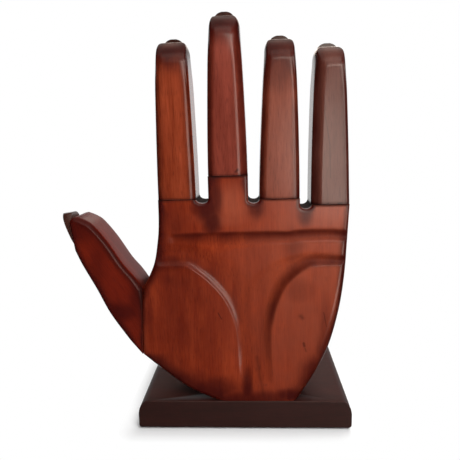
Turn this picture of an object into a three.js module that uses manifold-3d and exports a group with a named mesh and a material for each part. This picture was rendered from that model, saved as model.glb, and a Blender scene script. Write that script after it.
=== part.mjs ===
// Hand-shaped bookstand: a carved wooden left hand standing on a base board, flush with the board's front.
// Millimetres, +Z up. The origin is the centre of the underside, the palm faces -Y, the thumb points to -X.
// The hand has its own group: x as above, y is the depth behind the palm's face, z the height over the base.
import * as THREE from "three";
import { mergeVertices } from "three/addons/utils/BufferGeometryUtils.js";
import Module from "manifold-3d";

// Base board and the felt sheet under it
const BASE_WIDTH = 140;
const BASE_LENGTH = 100;
const BASE_THICKNESS = 19;
const BASE_ROUND_WIDTH = 7;
const BASE_ROUND_HEIGHT = 10.5;
const BASE_FOOT_RADIUS = 2;
const FELT_THICKNESS = 1.5;
const FELT_INSET = 3;
const FELT_CORNER = 5;

// Board that the hand is sawn from, and its joints
const HAND_THICKNESS = 27;
const EDGE_ROUND = 2.6;
const GLUE_LINE = 0.3;
const DOWEL_DIAMETER = 6;
const DOWEL_LENGTH = 24;
const DOWEL_CHAMFER = 0.8;
const DOWEL_CLEARANCE = 0.3;
const FINGER_DOWEL_SPACING = 11;
const THUMB_DOWEL_SPACING = 13;
const THUMB_DOWEL_RISE = 6.5;

// Fingers from thumb side to little side: centre and lean in x, widths, seam height, length, front chamfers
const FINGERS = [
  {
    name: "index", x: -38.3, lean: -0.1, foot: 23.2, tip: 17.2,
    seam: 132.5, length: 93, left: 2.6, right: 3.4,
  },
  {
    name: "middle", x: -7, lean: 0, foot: 23.9, tip: 16.8,
    seam: 146.3, length: 94, left: 3, right: 5,
  },
  {
    name: "ring", x: 24, lean: 1.2, foot: 24.3, tip: 17.6,
    seam: 132, length: 93.5, left: 3, right: 3.4,
  },
  {
    name: "little", x: 54.4, lean: -0.5, foot: 22.6, tip: 16.9,
    seam: 128, length: 92.1, left: 4.6, right: 2.6,
  },
];
const FINGER_TAPER = 1.5;
const FINGER_BACK_CHAMFER = 2.4;
const TIP_SLOPE_HEIGHT = 13.5;
const TIP_SLOPE_DEPTH = 15;
const TIP_CORNER_HEIGHT = 8;
const TIP_CORNER_INSET = 4.8;
const TIP_CHAMFER_SHARE = 0.7;
const SHAFT_STEPS = 5;
const TIP_STEPS = 7;
const SLOT_DROP = 2.4;

// Nails: thick arched plates lying on a sloping bed cut into the back of each tip
const NAIL_BED_LENGTH = 22;
const NAIL_BED_DEPTH = 2.8;
const NAIL_OVERHANG = 3.9;
const FINGER_NAIL = { width: 12.4, length: 20, root: 0.9, tip: 2.5 };
const THUMB_NAIL = { width: 19, length: 23, root: 1, tip: 7.2 };
const NAIL_EDGE_SHARE = 0.7;
const NAIL_SQUARENESS = 4;
const NAIL_END_SHARE = 0.35;
const NAIL_STEPS = 8;
const NAIL_ARC_STEPS = 6;

// Palm outline, [x, height]: the foot, the little finger's side, the thumb's side and the heel of the thumb
const FOOT_LEFT = -19;
const FOOT_RIGHT = 34.5;
const LITTLE_SIDE = [[45, 16], [54.4, 35], [60.7, 59.3], [63.7, 82.7], [65, 109.5]];
const INDEX_SIDE = [[-50.3, 118.5], [-51.5, 107.2], [-54.8, 91.8]];
const CROTCH = [-62.3, 76.5];
const HEEL = [-64.3, 33];
const HEEL_SIDE = [[-52.7, 21.2], [-35.4, 7.6]];

// Thumb outline, [x, height]: outer edge from the heel up to the nail, inner edge from the tip to the crotch
const THUMB_OUTER = [[-73.7, 43.9], [-84.3, 60.4], [-91.7, 76.5], [-99.6, 92.4]];
const THUMB_BED_FOOT = [-103.5, 102];
const THUMB_BED_TOP = [-105.7, 119];
const THUMB_TIP = [-101, 122.9];
const THUMB_INNER = [[-96, 120.8], [-91, 117.2], [-82.7, 106.5], [-74, 92.5], [-67.5, 84.3]];

// Carved palm lines: the path of the crisp edge, then the cove's width, its depth and the far side's width,
// each at even stations from the path's start to its end. The cove lies to the left of the path as it runs,
// and where a path starts or ends beside the palm, the line runs out through the rounded edge.
const PALM_LINES = [
  {
    path: [
      [79, 109], [64.2, 110.2], [60, 112.2], [54, 112.9], [36, 112.9], [29, 112], [20, 112.2], [0, 112.2],
      [-24.6, 111.9], [-46, 111.5],
    ],
    cove: [4, 4, 4, 3.6, 3], depth: [1.8, 1.8, 1.7, 1.5, 0.5], far: [2.4, 2.4, 4, 2.4, 2],
  },
  {
    path: [
      [-63, 91.3], [-47, 91.4], [-36.5, 91.4], [-31.1, 89.5], [-20.5, 81], [-11.7, 70.5], [-6.6, 59.9],
      [-3.7, 49.2], [-2.8, 38.4], [-2.6, 27.5], [-1.9, 12],
    ],
    cove: [5, 6, 7, 6.4, 4], depth: [1.4, 2, 2.4, 1.8, 0.3], far: [6, 12, 18, 14, 6],
  },
  {
    path: [
      [19.3, 9], [18.9, 20.5], [18.1, 43.7], [19.4, 55.7], [22.2, 66.3], [26.9, 76.6], [33.5, 84.2],
      [41, 89.2], [47, 90.6], [60, 90.8], [74, 90.7],
    ],
    cove: [3.4, 4.4, 7, 4, 1.8], depth: [0.4, 1.6, 2.6, 2, 1.4], far: [6, 12, 14, 5, 2.6],
  },
];
// How deep the cove is at these shares of its width, and how many straight steps follow each path
const COVE_SECTION = [[0, 0], [0.25, 0.44], [0.5, 0.75], [0.75, 0.94], [1, 1]];
const LINE_STEPS = 36;
const LINE_RISE = 1;

// Countersunk wood screws up through the base into the palm's foot
const SCREW = { length: 42, shank: 4.2, head: 8.4, headHeight: 2.4, point: 5 };
const SCREW_SPACING = 32;
const SCREW_SINK = 0.4;
const SCREW_CLEARANCE = 0.3;

// How far cutters reach past what they cut
const OVERRUN = 6;
const CURVE_STEPS = 4;
const ROUND_STEPS = 3;
const TURN_STEPS = 16;
const MERGE_DISTANCE = 1e-4;

const BASE_TOP = FELT_THICKNESS + BASE_THICKNESS;
const MID_DEPTH = HAND_THICKNESS / 2;

const wasm = await Module();
wasm.setup();

const mahogany = { color: 0x7d2e17, roughness: 0.35, metalness: 0 };
const walnutBrown = { color: 0x3b1c17, roughness: 0.4, metalness: 0 };
const nailBrown = { color: 0x2a1512, roughness: 0.35, metalness: 0 };
const beech = { color: 0xc9a277, roughness: 0.7, metalness: 0 };
const steel = { color: 0xb4b2a8, roughness: 0.35, metalness: 1 };
const feltBrown = { color: 0x2c211b, roughness: 1, metalness: 0 };

// A geometry with shared vertices and no collapsed triangles, turned to face outwards
function tidy(geometry) {
  const bare = geometry.clone();
  bare.deleteAttribute("normal");
  bare.deleteAttribute("uv");
  const merged = mergeVertices(bare, MERGE_DISTANCE);
  const kept = [];
  const corners = merged.index.array;
  for (let i = 0; i < corners.length; i += 3) {
    const [a, b, c] = corners.slice(i, i + 3);
    if (a !== b && b !== c && c !== a) kept.push(a, b, c);
  }
  merged.setIndex(kept);
  if (signedVolume(merged) < 0) merged.setIndex(kept.reverse());
  return merged;
}

function signedVolume(geometry) {
  const place = geometry.attributes.position;
  const index = geometry.index.array;
  const corner = (i) => new THREE.Vector3().fromBufferAttribute(place, index[i]);
  let six = 0;
  for (let i = 0; i < index.length; i += 3) six += corner(i).dot(corner(i + 1).cross(corner(i + 2)));
  return six / 6;
}

function toSolid(geometry) {
  const bare = tidy(geometry);
  const vertProperties = new Float32Array(bare.attributes.position.array);
  const triVerts = new Uint32Array(bare.index.array);
  return new wasm.Manifold(new wasm.Mesh({ numProp: 3, vertProperties, triVerts }));
}

// The body with every cutter taken out of it
function cut(body, cutters) {
  let solid = toSolid(body);
  for (const cutter of cutters) solid = solid.subtract(toSolid(cutter));
  const mesh = solid.getMesh();
  const geometry = new THREE.BufferGeometry();
  geometry.setAttribute("position", new THREE.BufferAttribute(mesh.vertProperties, 3));
  geometry.setIndex(new THREE.BufferAttribute(mesh.triVerts, 1));
  return geometry;
}

function piece(name, geometry, finish) {
  const body = tidy(geometry);
  body.computeVertexNormals();
  const mesh = new THREE.Mesh(body, new THREE.MeshStandardMaterial(finish));
  mesh.name = name;
  return mesh;
}

// A skin through rings of points, closed by a fan from each end ring's first point
function loft(rings) {
  const count = rings[0].length;
  const index = [];
  for (let r = 0; r + 1 < rings.length; r++) {
    for (let i = 0; i < count; i++) {
      const a = r * count + i;
      const b = r * count + ((i + 1) % count);
      index.push(a, b, b + count, a, b + count, a + count);
    }
  }
  const last = (rings.length - 1) * count;
  for (let i = 1; i + 1 < count; i++) {
    index.push(0, i + 1, i);
    index.push(last, last + i, last + i + 1);
  }
  const geometry = new THREE.BufferGeometry().setFromPoints(rings.flat());
  geometry.setIndex(index);
  return geometry;
}

// A board as thick as the hand, with rounded edges, from an outline of x and height
function sawnBoard(outline) {
  const board = new THREE.ExtrudeGeometry(outline, {
    depth: HAND_THICKNESS - 2 * EDGE_ROUND,
    bevelThickness: EDGE_ROUND,
    bevelSize: EDGE_ROUND,
    bevelOffset: -EDGE_ROUND,
    bevelSegments: ROUND_STEPS,
    curveSegments: CURVE_STEPS,
  });
  board.rotateX(Math.PI / 2);
  board.translate(0, HAND_THICKNESS - EDGE_ROUND, 0);
  return board;
}

// A box given by its lowest and highest corners
function block(low, high) {
  const size = high.map((value, i) => value - low[i]);
  const box = new THREE.BoxGeometry(...size);
  box.translate(...low.map((value, i) => value + size[i] / 2));
  return box;
}

// A round piece along +Z from a profile of [radius, height]
function turned(profile) {
  const points = profile.map(([radius, height]) => new THREE.Vector2(radius, height));
  return new THREE.LatheGeometry(points, TURN_STEPS).rotateX(Math.PI / 2);
}

const toPoints = (pairs) => pairs.map(([x, height]) => new THREE.Vector2(x, height));

// Dowels stand half in each piece, and their holes have clearance round them and at both ends
function dowel() {
  const half = DOWEL_LENGTH / 2;
  const radius = DOWEL_DIAMETER / 2;
  const bare = radius - DOWEL_CHAMFER;
  const shoulder = half - DOWEL_CHAMFER;
  const ends = [[0, -half], [bare, -half], [radius, -shoulder], [radius, shoulder], [bare, half], [0, half]];
  return turned(ends);
}

function dowelHole() {
  const half = DOWEL_LENGTH / 2 + DOWEL_CLEARANCE;
  const radius = DOWEL_DIAMETER / 2 + DOWEL_CLEARANCE;
  return turned([[0, -half], [radius, -half], [radius, half], [0, half]]);
}

// Where a finger's two dowels cross its glue line, in the finger's own group
function fingerDowelPlaces() {
  const middle = GLUE_LINE / 2;
  const half = FINGER_DOWEL_SPACING / 2;
  return [-half, half].map((offset) => [0, MID_DEPTH + offset, middle]);
}

// One rounded corner of a finger's section, from one side to the next
function sectionCorner(x, y, inX, inY) {
  const points = [];
  for (let step = 0; step <= ROUND_STEPS; step++) {
    const turn = (Math.PI / 2) * (step / ROUND_STEPS);
    points.push([x - inX * (1 - Math.cos(turn)), y - inY * (1 - Math.sin(turn))]);
  }
  return points;
}

// A finger's section at a height above its seam: tapering sides, a tip that slopes back, a bed for the nail
function fingerRing(finger, height) {
  const up = height / finger.length;
  const bodyUp = Math.min(1, height / (finger.length - TIP_CORNER_HEIGHT));
  const width = finger.foot - (finger.foot - finger.tip) * bodyUp ** FINGER_TAPER;
  const roll = (start, span) => 1 - Math.sqrt(1 - Math.min(1, Math.max(0, (height - start) / span)) ** 2);
  const tipInset = TIP_CORNER_INSET * roll(finger.length - TIP_CORNER_HEIGHT, TIP_CORNER_HEIGHT);
  const front = TIP_SLOPE_DEPTH * roll(finger.length - TIP_SLOPE_HEIGHT, TIP_SLOPE_HEIGHT);
  const bedUp = Math.max(0, 1 - (finger.length - height) / NAIL_BED_LENGTH);
  const back = HAND_THICKNESS - NAIL_BED_DEPTH * bedUp;
  const half = width / 2 - tipInset;
  const centre = finger.lean * up;
  const chamferBack = Math.min(FINGER_BACK_CHAMFER, half * TIP_CHAMFER_SHARE);
  const chamferLeft = Math.min(finger.left, half * TIP_CHAMFER_SHARE);
  const chamferRight = Math.min(finger.right, half * TIP_CHAMFER_SHARE);
  const corners = [
    ...sectionCorner(half, back, chamferBack, chamferBack),
    ...sectionCorner(-half, back, -chamferBack, chamferBack).reverse(),
    ...sectionCorner(-half, front, -chamferLeft, -chamferLeft),
    ...sectionCorner(half, front, chamferRight, -chamferRight).reverse(),
  ];
  return corners.map(([x, y]) => new THREE.Vector3(centre + x, y, height));
}

function fingerBody(finger) {
  const shaftTop = finger.length - NAIL_BED_LENGTH;
  const slopeFoot = finger.length - TIP_SLOPE_HEIGHT;
  const heights = [GLUE_LINE];
  for (let step = 1; step <= SHAFT_STEPS; step++) heights.push((shaftTop * step) / SHAFT_STEPS);
  heights.push(slopeFoot);
  for (let step = 1; step <= TIP_STEPS; step++) {
    heights.push(slopeFoot + TIP_SLOPE_HEIGHT * Math.sin((Math.PI / 2) * (step / TIP_STEPS)));
  }
  const body = loft(heights.map((height) => fingerRing(finger, height)));
  return cut(body, fingerDowelPlaces().map((place) => dowelHole().translate(...place)));
}

// A nail: width along x, length along z, flat on its bed at y = 0 and arched on the outside
function nailPlate({ width, length, root, tip }) {
  const rings = [];
  for (let step = 0; step <= NAIL_STEPS; step++) {
    const share = (1 - Math.cos((Math.PI * step) / NAIL_STEPS)) / 2;
    const off = Math.abs(2 * share - 1);
    const bow = (1 - off ** NAIL_SQUARENESS) ** (1 / NAIL_SQUARENESS);
    const half = (width / 2) * Math.max(NAIL_END_SHARE, bow);
    const thickness = root + (tip - root) * share;
    const ring = [[half, 0]];
    for (let i = 0; i <= NAIL_ARC_STEPS; i++) {
      const turn = (Math.PI * i) / NAIL_ARC_STEPS;
      const rise = NAIL_EDGE_SHARE + (1 - NAIL_EDGE_SHARE) * Math.sin(turn);
      ring.push([half * Math.cos(turn), thickness * rise]);
    }
    ring.push([-half, 0]);
    rings.push(ring.map(([x, y]) => new THREE.Vector3(x, y, length * share)));
  }
  return loft(rings);
}

// A cutter for one palm line: a cove that is steepest at the path, and a slope up again on its far side
function palmLineCutter(line) {
  const curve = new THREE.SplineCurve(toPoints(line.path));
  const along = (stations, u) => {
    const place = u * (stations.length - 1);
    const before = Math.min(Math.floor(place), stations.length - 2);
    return THREE.MathUtils.lerp(stations[before], stations[before + 1], place - before);
  };
  const rings = [];
  for (let step = 0; step <= LINE_STEPS; step++) {
    const u = step / LINE_STEPS;
    const point = curve.getPointAt(u);
    const run = curve.getTangentAt(u);
    const cove = along(line.cove, u);
    const depth = along(line.depth, u);
    const far = cove + along(line.far, u);
    const section = [
      [0, -LINE_RISE],
      ...COVE_SECTION.map(([out, down]) => [cove * out, depth * down]),
      [(cove + far) / 2, depth / 2],
      [far, 0],
      [far, -LINE_RISE],
    ];
    rings.push(section.map(([n, y]) => new THREE.Vector3(point.x - run.y * n, y, point.y + run.x * n)));
  }
  return loft(rings);
}

// The plane between thumb and palm: its middle, its slope, and a big block on one side of it
const seamMiddle = new THREE.Vector3((CROTCH[0] + HEEL[0]) / 2, MID_DEPTH, (CROTCH[1] + HEEL[1]) / 2);
const seamTilt = Math.atan2(CROTCH[0] - HEEL[0], CROTCH[1] - HEEL[1]);
const seamLength = Math.hypot(CROTCH[0] - HEEL[0], CROTCH[1] - HEEL[1]);

function besideThumbSeam(side) {
  const reach = 4 * OVERRUN;
  const tall = seamLength / 2 + 2 * OVERRUN;
  const deep = MID_DEPTH + OVERRUN;
  const edge = side * (GLUE_LINE / 2);
  const far = side * reach;
  const box = block([Math.min(-edge, far), -deep, -tall], [Math.max(-edge, far), deep, tall]);
  return box.rotateY(seamTilt).translate(...seamMiddle.toArray());
}

// Thumb dowels lie square to the seam, one above the other, clear of the thumb's outer edge
function acrossThumbSeam(geometry, offset) {
  return geometry.rotateY(Math.PI / 2).translate(0, 0, offset).rotateY(seamTilt)
    .translate(...seamMiddle.toArray());
}

const thumbDowelOffsets = [1, -1].map((side) => THUMB_DOWEL_RISE + (side * THUMB_DOWEL_SPACING) / 2);

function palmOutline() {
  const shape = new THREE.Shape();
  const little = FINGERS[FINGERS.length - 1];
  const index = FINGERS[0];
  shape.moveTo(FOOT_LEFT + 2 * OVERRUN, -OVERRUN);
  shape.lineTo(FOOT_RIGHT - OVERRUN / 2, -OVERRUN);
  shape.lineTo(FOOT_RIGHT, 0);
  shape.splineThru(toPoints([...LITTLE_SIDE, [little.x + little.foot / 2, little.seam]]));
  for (let i = FINGERS.length - 1; i > 0; i--) {
    const right = FINGERS[i];
    const left = FINGERS[i - 1];
    const slotRight = right.x - right.foot / 2;
    const slotLeft = left.x + left.foot / 2;
    const springing = Math.min(right.seam, left.seam);
    const middle = (slotRight + slotLeft) / 2;
    shape.lineTo(right.x + right.foot / 2, right.seam + OVERRUN);
    shape.lineTo(slotRight, right.seam + OVERRUN);
    shape.lineTo(slotRight, springing);
    shape.absellipse(middle, springing, (slotRight - slotLeft) / 2, SLOT_DROP, 0, Math.PI, true);
  }
  const indexRight = index.x + index.foot / 2;
  const indexLeft = index.x - index.foot / 2;
  shape.lineTo(indexRight, index.seam + OVERRUN);
  shape.lineTo(indexLeft, index.seam + OVERRUN);
  shape.lineTo(indexLeft, index.seam);
  shape.splineThru(toPoints([...INDEX_SIDE, CROTCH]));
  shape.lineTo(CROTCH[0] - OVERRUN / 2, CROTCH[1] - OVERRUN);
  shape.lineTo(HEEL[0] - OVERRUN, HEEL[1] + OVERRUN);
  shape.lineTo(...HEEL);
  shape.splineThru(toPoints([...HEEL_SIDE, [FOOT_LEFT, 0]]));
  return shape;
}

function palmBody() {
  const cutters = PALM_LINES.map(palmLineCutter);
  cutters.push(besideThumbSeam(-1));
  const below = -2 * OVERRUN;
  cutters.push(block([-BASE_WIDTH, below, below], [BASE_WIDTH, HAND_THICKNESS + OVERRUN, GLUE_LINE]));
  FINGERS.forEach((finger) => {
    const reach = finger.foot / 2 + SLOT_DROP;
    const low = [finger.x - reach, -OVERRUN, finger.seam];
    cutters.push(block(low, [finger.x + reach, HAND_THICKNESS + OVERRUN, finger.seam + 2 * OVERRUN]));
    for (const [x, y, z] of fingerDowelPlaces()) {
      cutters.push(dowelHole().translate(finger.x + x, y, finger.seam + z));
    }
  });
  for (const offset of thumbDowelOffsets) cutters.push(acrossThumbSeam(dowelHole(), offset));
  for (const x of screwPlaces) cutters.push(screwHole().translate(x, MID_DEPTH, -BASE_THICKNESS));
  return cut(sawnBoard(palmOutline()), cutters);
}

function thumbBody() {
  const shape = new THREE.Shape();
  shape.moveTo(HEEL[0] + OVERRUN, HEEL[1] - OVERRUN);
  shape.lineTo(...HEEL);
  shape.splineThru(toPoints([...THUMB_OUTER, THUMB_BED_FOOT]));
  shape.lineTo(...THUMB_BED_TOP);
  shape.quadraticCurveTo(THUMB_BED_TOP[0], THUMB_TIP[1], ...THUMB_TIP);
  shape.splineThru(toPoints([...THUMB_INNER, CROTCH]));
  shape.lineTo(CROTCH[0] + OVERRUN, CROTCH[1] - OVERRUN);
  const holes = thumbDowelOffsets.map((offset) => acrossThumbSeam(dowelHole(), offset));
  return cut(sawnBoard(shape), [besideThumbSeam(1), ...holes]);
}

// Screws stand in a row under the palm's foot, heads just below the base's underside
const footMiddle = (FOOT_LEFT + FOOT_RIGHT) / 2;
const screwPlaces = [footMiddle - SCREW_SPACING / 2, footMiddle + SCREW_SPACING / 2];

function screwBody() {
  const head = SCREW.head / 2;
  const shank = SCREW.shank / 2;
  const profile = [[0, 0], [head, 0], [shank, SCREW.headHeight], [shank, SCREW.length - SCREW.point]];
  return turned([...profile, [0, SCREW.length]]).translate(0, 0, SCREW_SINK);
}

function screwHole() {
  const head = SCREW.head / 2 + SCREW_CLEARANCE;
  const shank = SCREW.shank / 2 + SCREW_CLEARANCE;
  const neck = SCREW_SINK + SCREW.headHeight;
  const end = SCREW_SINK + SCREW.length + SCREW_CLEARANCE;
  const mouth = [[0, -OVERRUN], [head, -OVERRUN], [head, SCREW_SINK]];
  return turned([...mouth, [shank, neck], [shank, end], [0, end]]);
}

// Base board: square at the front, rounded along the other three sides, top and bottom
function baseBody() {
  const levels = [];
  const steps = 2 * ROUND_STEPS;
  for (let step = 0; step <= steps; step++) {
    const turn = (Math.PI / 2) * (step / steps);
    levels.push([BASE_FOOT_RADIUS * (1 - Math.sin(turn)), BASE_FOOT_RADIUS * (1 - Math.cos(turn))]);
  }
  for (let step = 0; step <= steps; step++) {
    const turn = (Math.PI / 2) * (step / steps);
    const height = BASE_THICKNESS - BASE_ROUND_HEIGHT * (1 - Math.sin(turn));
    levels.push([BASE_ROUND_WIDTH * (1 - Math.cos(turn)), height]);
  }
  const rings = levels.map(([inset, height]) => {
    const x = BASE_WIDTH / 2 - inset;
    const front = -BASE_LENGTH / 2;
    const back = BASE_LENGTH / 2 - inset;
    const corners = [[-x, front], [x, front], [x, back], [-x, back]];
    return corners.map(([cx, cy]) => new THREE.Vector3(cx, cy, FELT_THICKNESS + height));
  });
  const screwDepth = MID_DEPTH - BASE_LENGTH / 2;
  const holes = screwPlaces.map((x) => screwHole().translate(x, screwDepth, FELT_THICKNESS));
  return cut(loft(rings), holes);
}

function feltSheet() {
  const x = BASE_WIDTH / 2 - BASE_FOOT_RADIUS - FELT_INSET;
  const y = BASE_LENGTH / 2 - BASE_FOOT_RADIUS - FELT_INSET;
  const sheet = new THREE.Shape();
  sheet.absarc(x - FELT_CORNER, y - FELT_CORNER, FELT_CORNER, 0, Math.PI / 2);
  sheet.absarc(FELT_CORNER - x, y - FELT_CORNER, FELT_CORNER, Math.PI / 2, Math.PI);
  sheet.absarc(FELT_CORNER - x, FELT_CORNER - y, FELT_CORNER, Math.PI, 1.5 * Math.PI);
  sheet.absarc(x - FELT_CORNER, FELT_CORNER - y, FELT_CORNER, 1.5 * Math.PI, 2 * Math.PI);
  const options = { depth: FELT_THICKNESS, bevelEnabled: false, curveSegments: CURVE_STEPS };
  return new THREE.ExtrudeGeometry(sheet, options);
}

// A finger with its nail and its two dowels, in a group standing on the finger's seam
function fingerGroup(finger) {
  const group = new THREE.Group();
  group.position.set(finger.x, 0, finger.seam);
  group.add(piece(`${finger.name}_finger`, fingerBody(finger), mahogany));
  const nail = piece(`${finger.name}_nail`, nailPlate(FINGER_NAIL), nailBrown);
  const slope = Math.atan2(NAIL_BED_DEPTH, NAIL_BED_LENGTH);
  const rootBelowTip = FINGER_NAIL.length - NAIL_OVERHANG;
  const bedUp = 1 - rootBelowTip / NAIL_BED_LENGTH;
  nail.rotation.x = slope;
  nail.position.set(
    finger.lean,
    HAND_THICKNESS - NAIL_BED_DEPTH * bedUp + GLUE_LINE / Math.cos(slope),
    finger.length - rootBelowTip,
  );
  group.add(nail);
  fingerDowelPlaces().forEach((place, i) => {
    const side = ["front", "back"][i];
    const pin = piece(`${finger.name}_dowel_${side}`, dowel(), beech);
    pin.position.set(...place);
    group.add(pin);
  });
  return group;
}

function thumbGroup() {
  const group = new THREE.Group();
  group.add(piece("thumb", thumbBody(), mahogany));
  const foot = new THREE.Vector3(THUMB_BED_FOOT[0], MID_DEPTH, THUMB_BED_FOOT[1]);
  const top = new THREE.Vector3(THUMB_BED_TOP[0], MID_DEPTH, THUMB_BED_TOP[1]);
  const along = top.clone().sub(foot).normalize();
  const across = new THREE.Vector3(0, 1, 0);
  const out = along.clone().cross(across);
  const nail = piece("thumb_nail", nailPlate(THUMB_NAIL), nailBrown);
  nail.quaternion.setFromRotationMatrix(new THREE.Matrix4().makeBasis(across, out, along));
  nail.position.copy(foot).addScaledVector(out, GLUE_LINE);
  group.add(nail);
  thumbDowelOffsets.forEach((offset, i) => {
    const level = ["upper", "lower"][i];
    group.add(piece(`thumb_dowel_${level}`, acrossThumbSeam(dowel(), offset), beech));
  });
  return group;
}

const hand = new THREE.Group();
hand.position.set(0, -BASE_LENGTH / 2, BASE_TOP);
hand.add(piece("palm", palmBody(), mahogany));
for (const finger of FINGERS) hand.add(fingerGroup(finger));
hand.add(thumbGroup());

const bookstand = new THREE.Group();
bookstand.add(hand);
bookstand.add(piece("base", baseBody(), walnutBrown));
bookstand.add(piece("felt", feltSheet(), feltBrown));
screwPlaces.forEach((x, i) => {
  const side = ["thumb_side", "little_side"][i];
  const screw = piece(`screw_${side}`, screwBody(), steel);
  screw.position.set(x, MID_DEPTH - BASE_LENGTH / 2, FELT_THICKNESS);
  bookstand.add(screw);
});

export default bookstand;
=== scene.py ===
# %% [markdown]
# A carved wooden left hand stands on a dark base board and keeps books upright with its flat palm. It is
# sawn from boards: a palm, four fingers and a thumb, glued with dowels, then shaped, stained and
# lacquered. The measured model is loaded first and never moved. Every piece made here fits inside it, in
# metres.

# %% The frame
import math

import bpy
import numpy as np
from mathutils import Matrix, Vector
from mathutils.geometry import delaunay_2d_cdt


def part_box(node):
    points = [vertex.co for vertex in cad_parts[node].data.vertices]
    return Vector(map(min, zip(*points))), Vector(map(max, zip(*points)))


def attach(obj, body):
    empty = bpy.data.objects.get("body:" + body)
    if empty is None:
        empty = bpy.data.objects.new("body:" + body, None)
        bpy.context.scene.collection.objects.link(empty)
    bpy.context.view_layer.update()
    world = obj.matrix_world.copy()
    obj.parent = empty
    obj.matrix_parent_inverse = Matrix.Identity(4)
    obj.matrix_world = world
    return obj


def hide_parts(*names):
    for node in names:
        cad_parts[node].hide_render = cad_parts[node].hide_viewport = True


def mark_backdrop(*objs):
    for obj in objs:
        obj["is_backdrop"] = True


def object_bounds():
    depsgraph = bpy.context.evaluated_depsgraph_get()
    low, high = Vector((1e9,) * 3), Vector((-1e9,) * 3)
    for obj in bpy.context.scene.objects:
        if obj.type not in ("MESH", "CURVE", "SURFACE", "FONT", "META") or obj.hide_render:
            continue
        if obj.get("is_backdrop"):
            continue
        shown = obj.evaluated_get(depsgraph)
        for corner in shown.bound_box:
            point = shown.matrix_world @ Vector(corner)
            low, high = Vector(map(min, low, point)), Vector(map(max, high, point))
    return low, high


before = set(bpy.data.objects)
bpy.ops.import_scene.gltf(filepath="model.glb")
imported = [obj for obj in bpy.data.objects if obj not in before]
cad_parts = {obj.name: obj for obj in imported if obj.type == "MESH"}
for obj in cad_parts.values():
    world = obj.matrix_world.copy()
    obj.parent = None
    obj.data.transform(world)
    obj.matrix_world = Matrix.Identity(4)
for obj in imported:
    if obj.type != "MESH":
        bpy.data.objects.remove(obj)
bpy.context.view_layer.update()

# %% [markdown]
# The pieces are drawn in the hand's own millimetres: x towards the little finger, the depth behind the
# palm's face, and the height over the base. The base's box says where that corner of the world lies, so
# one function brings points into the frame, and another turns points and faces into a smooth-shaded
# object.

# %% From the hand's millimetres to the frame
MM = 0.001
base_low, base_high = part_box("base")
palm_low, palm_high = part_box("palm")
HAND_ORIGIN = np.array([0, base_low.y / MM, base_high.z / MM])
HAND_THICKNESS = (palm_high.y - palm_low.y) / MM
GLUE_LINE = palm_low.z / MM - HAND_ORIGIN[2]
SHARP_ANGLE = math.radians(40)


def in_frame(points):
    return (np.asarray(points, float) + HAND_ORIGIN) * MM


def show(name, mesh):
    made = bpy.data.objects.new(name, mesh)
    bpy.context.scene.collection.objects.link(made)
    print(name, len(mesh.vertices), "points", len(mesh.polygons), "faces")
    return made


def make_piece(name, points, faces):
    mesh = bpy.data.meshes.new(name)
    mesh.from_pydata(in_frame(points).tolist(), [], [[int(i) for i in face] for face in faces])
    mesh.validate()
    mesh.shade_smooth()
    mesh.set_sharp_from_angle(angle=SHARP_ANGLE)
    return show(name, mesh)


def paint(piece, **masks):
    """Keeps a number from 0 to 1 on every point, for the finish to read."""
    for name, values in masks.items():
        attribute = piece.data.attributes.new(name, "FLOAT", "POINT")
        attribute.data.foreach_set("value", np.clip(values, 0, 1).astype(np.float32))


print("hand", round(HAND_THICKNESS, 2), "mm thick, glue line", round(GLUE_LINE, 2), "mm")

# %% [markdown]
# The camera stands where the photographer stood: a little to the right, level with the finger joints and
# looking down. A pinhole's focal length in pixels gives the angle of view, and three turns aim it.

# %% Camera
FRAME_PIXELS = 460
FOCAL_PIXELS = 472
CAMERA_PLACE = Vector((0.00803, -0.33166, 0.18719))
CAMERA_PITCH = math.radians(10.645)
CAMERA_YAW = math.radians(2.902)
CAMERA_ROLL = math.radians(1.447)

camera = bpy.data.objects.new("camera", bpy.data.cameras.new("camera"))
bpy.context.scene.collection.objects.link(camera)
camera.data.angle = 2 * math.atan(FRAME_PIXELS / 2 / FOCAL_PIXELS)
look = Matrix.Rotation(CAMERA_YAW, 4, "Z") @ Matrix.Rotation(math.pi / 2 - CAMERA_PITCH, 4, "X")
camera.matrix_world = Matrix.Translation(CAMERA_PLACE) @ look @ Matrix.Rotation(-CAMERA_ROLL, 4, "Z")
bpy.context.scene.camera = camera
print("camera sees", round(math.degrees(camera.data.angle), 2), "degrees")

# %% [markdown]
# A bandsaw cuts the palm along a pencilled outline: straight over the finger joints and the foot, and
# sweeping curves at the sides. The curves run through a few chosen points, each with the radius that the
# edge is rounded to there, because a hand with a rasp takes more off the little finger's side low down
# than high up.

# %% Curves through chosen points
OUTLINE_STEP = 0.8
CURVE_PARTS = 60


def curve_through(points, spacing):
    """A smooth curve through the points, with a point about every spacing."""
    ends = np.asarray(points, float)
    ends = np.vstack([ends[:1], ends, ends[-1:]])
    t = np.arange(CURVE_PARTS)[:, None] / CURVE_PARTS
    runs = []
    for before, start, stop, after in zip(ends, ends[1:], ends[2:], ends[3:]):
        leave = (stop - before) / 2
        arrive = (after - start) / 2
        cubic = 2 * start - 2 * stop + leave + arrive
        square = -3 * start + 3 * stop - 2 * leave - arrive
        runs.append(cubic * t**3 + square * t**2 + leave * t + start)
    fine = np.vstack([*runs, ends[-1:]])
    length = np.r_[0, np.cumsum(np.linalg.norm(np.diff(fine[:, :2], axis=0), axis=1))]
    even = np.linspace(0, length[-1], round(length[-1] / spacing) + 1)
    return np.stack([np.interp(even, length, column) for column in fine.T], axis=1)


def ease(t):
    """0 below 0, 1 above 1, and a smooth rise between."""
    t = np.clip(t, 0, 1)
    return t * t * (3 - 2 * t)


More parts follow.
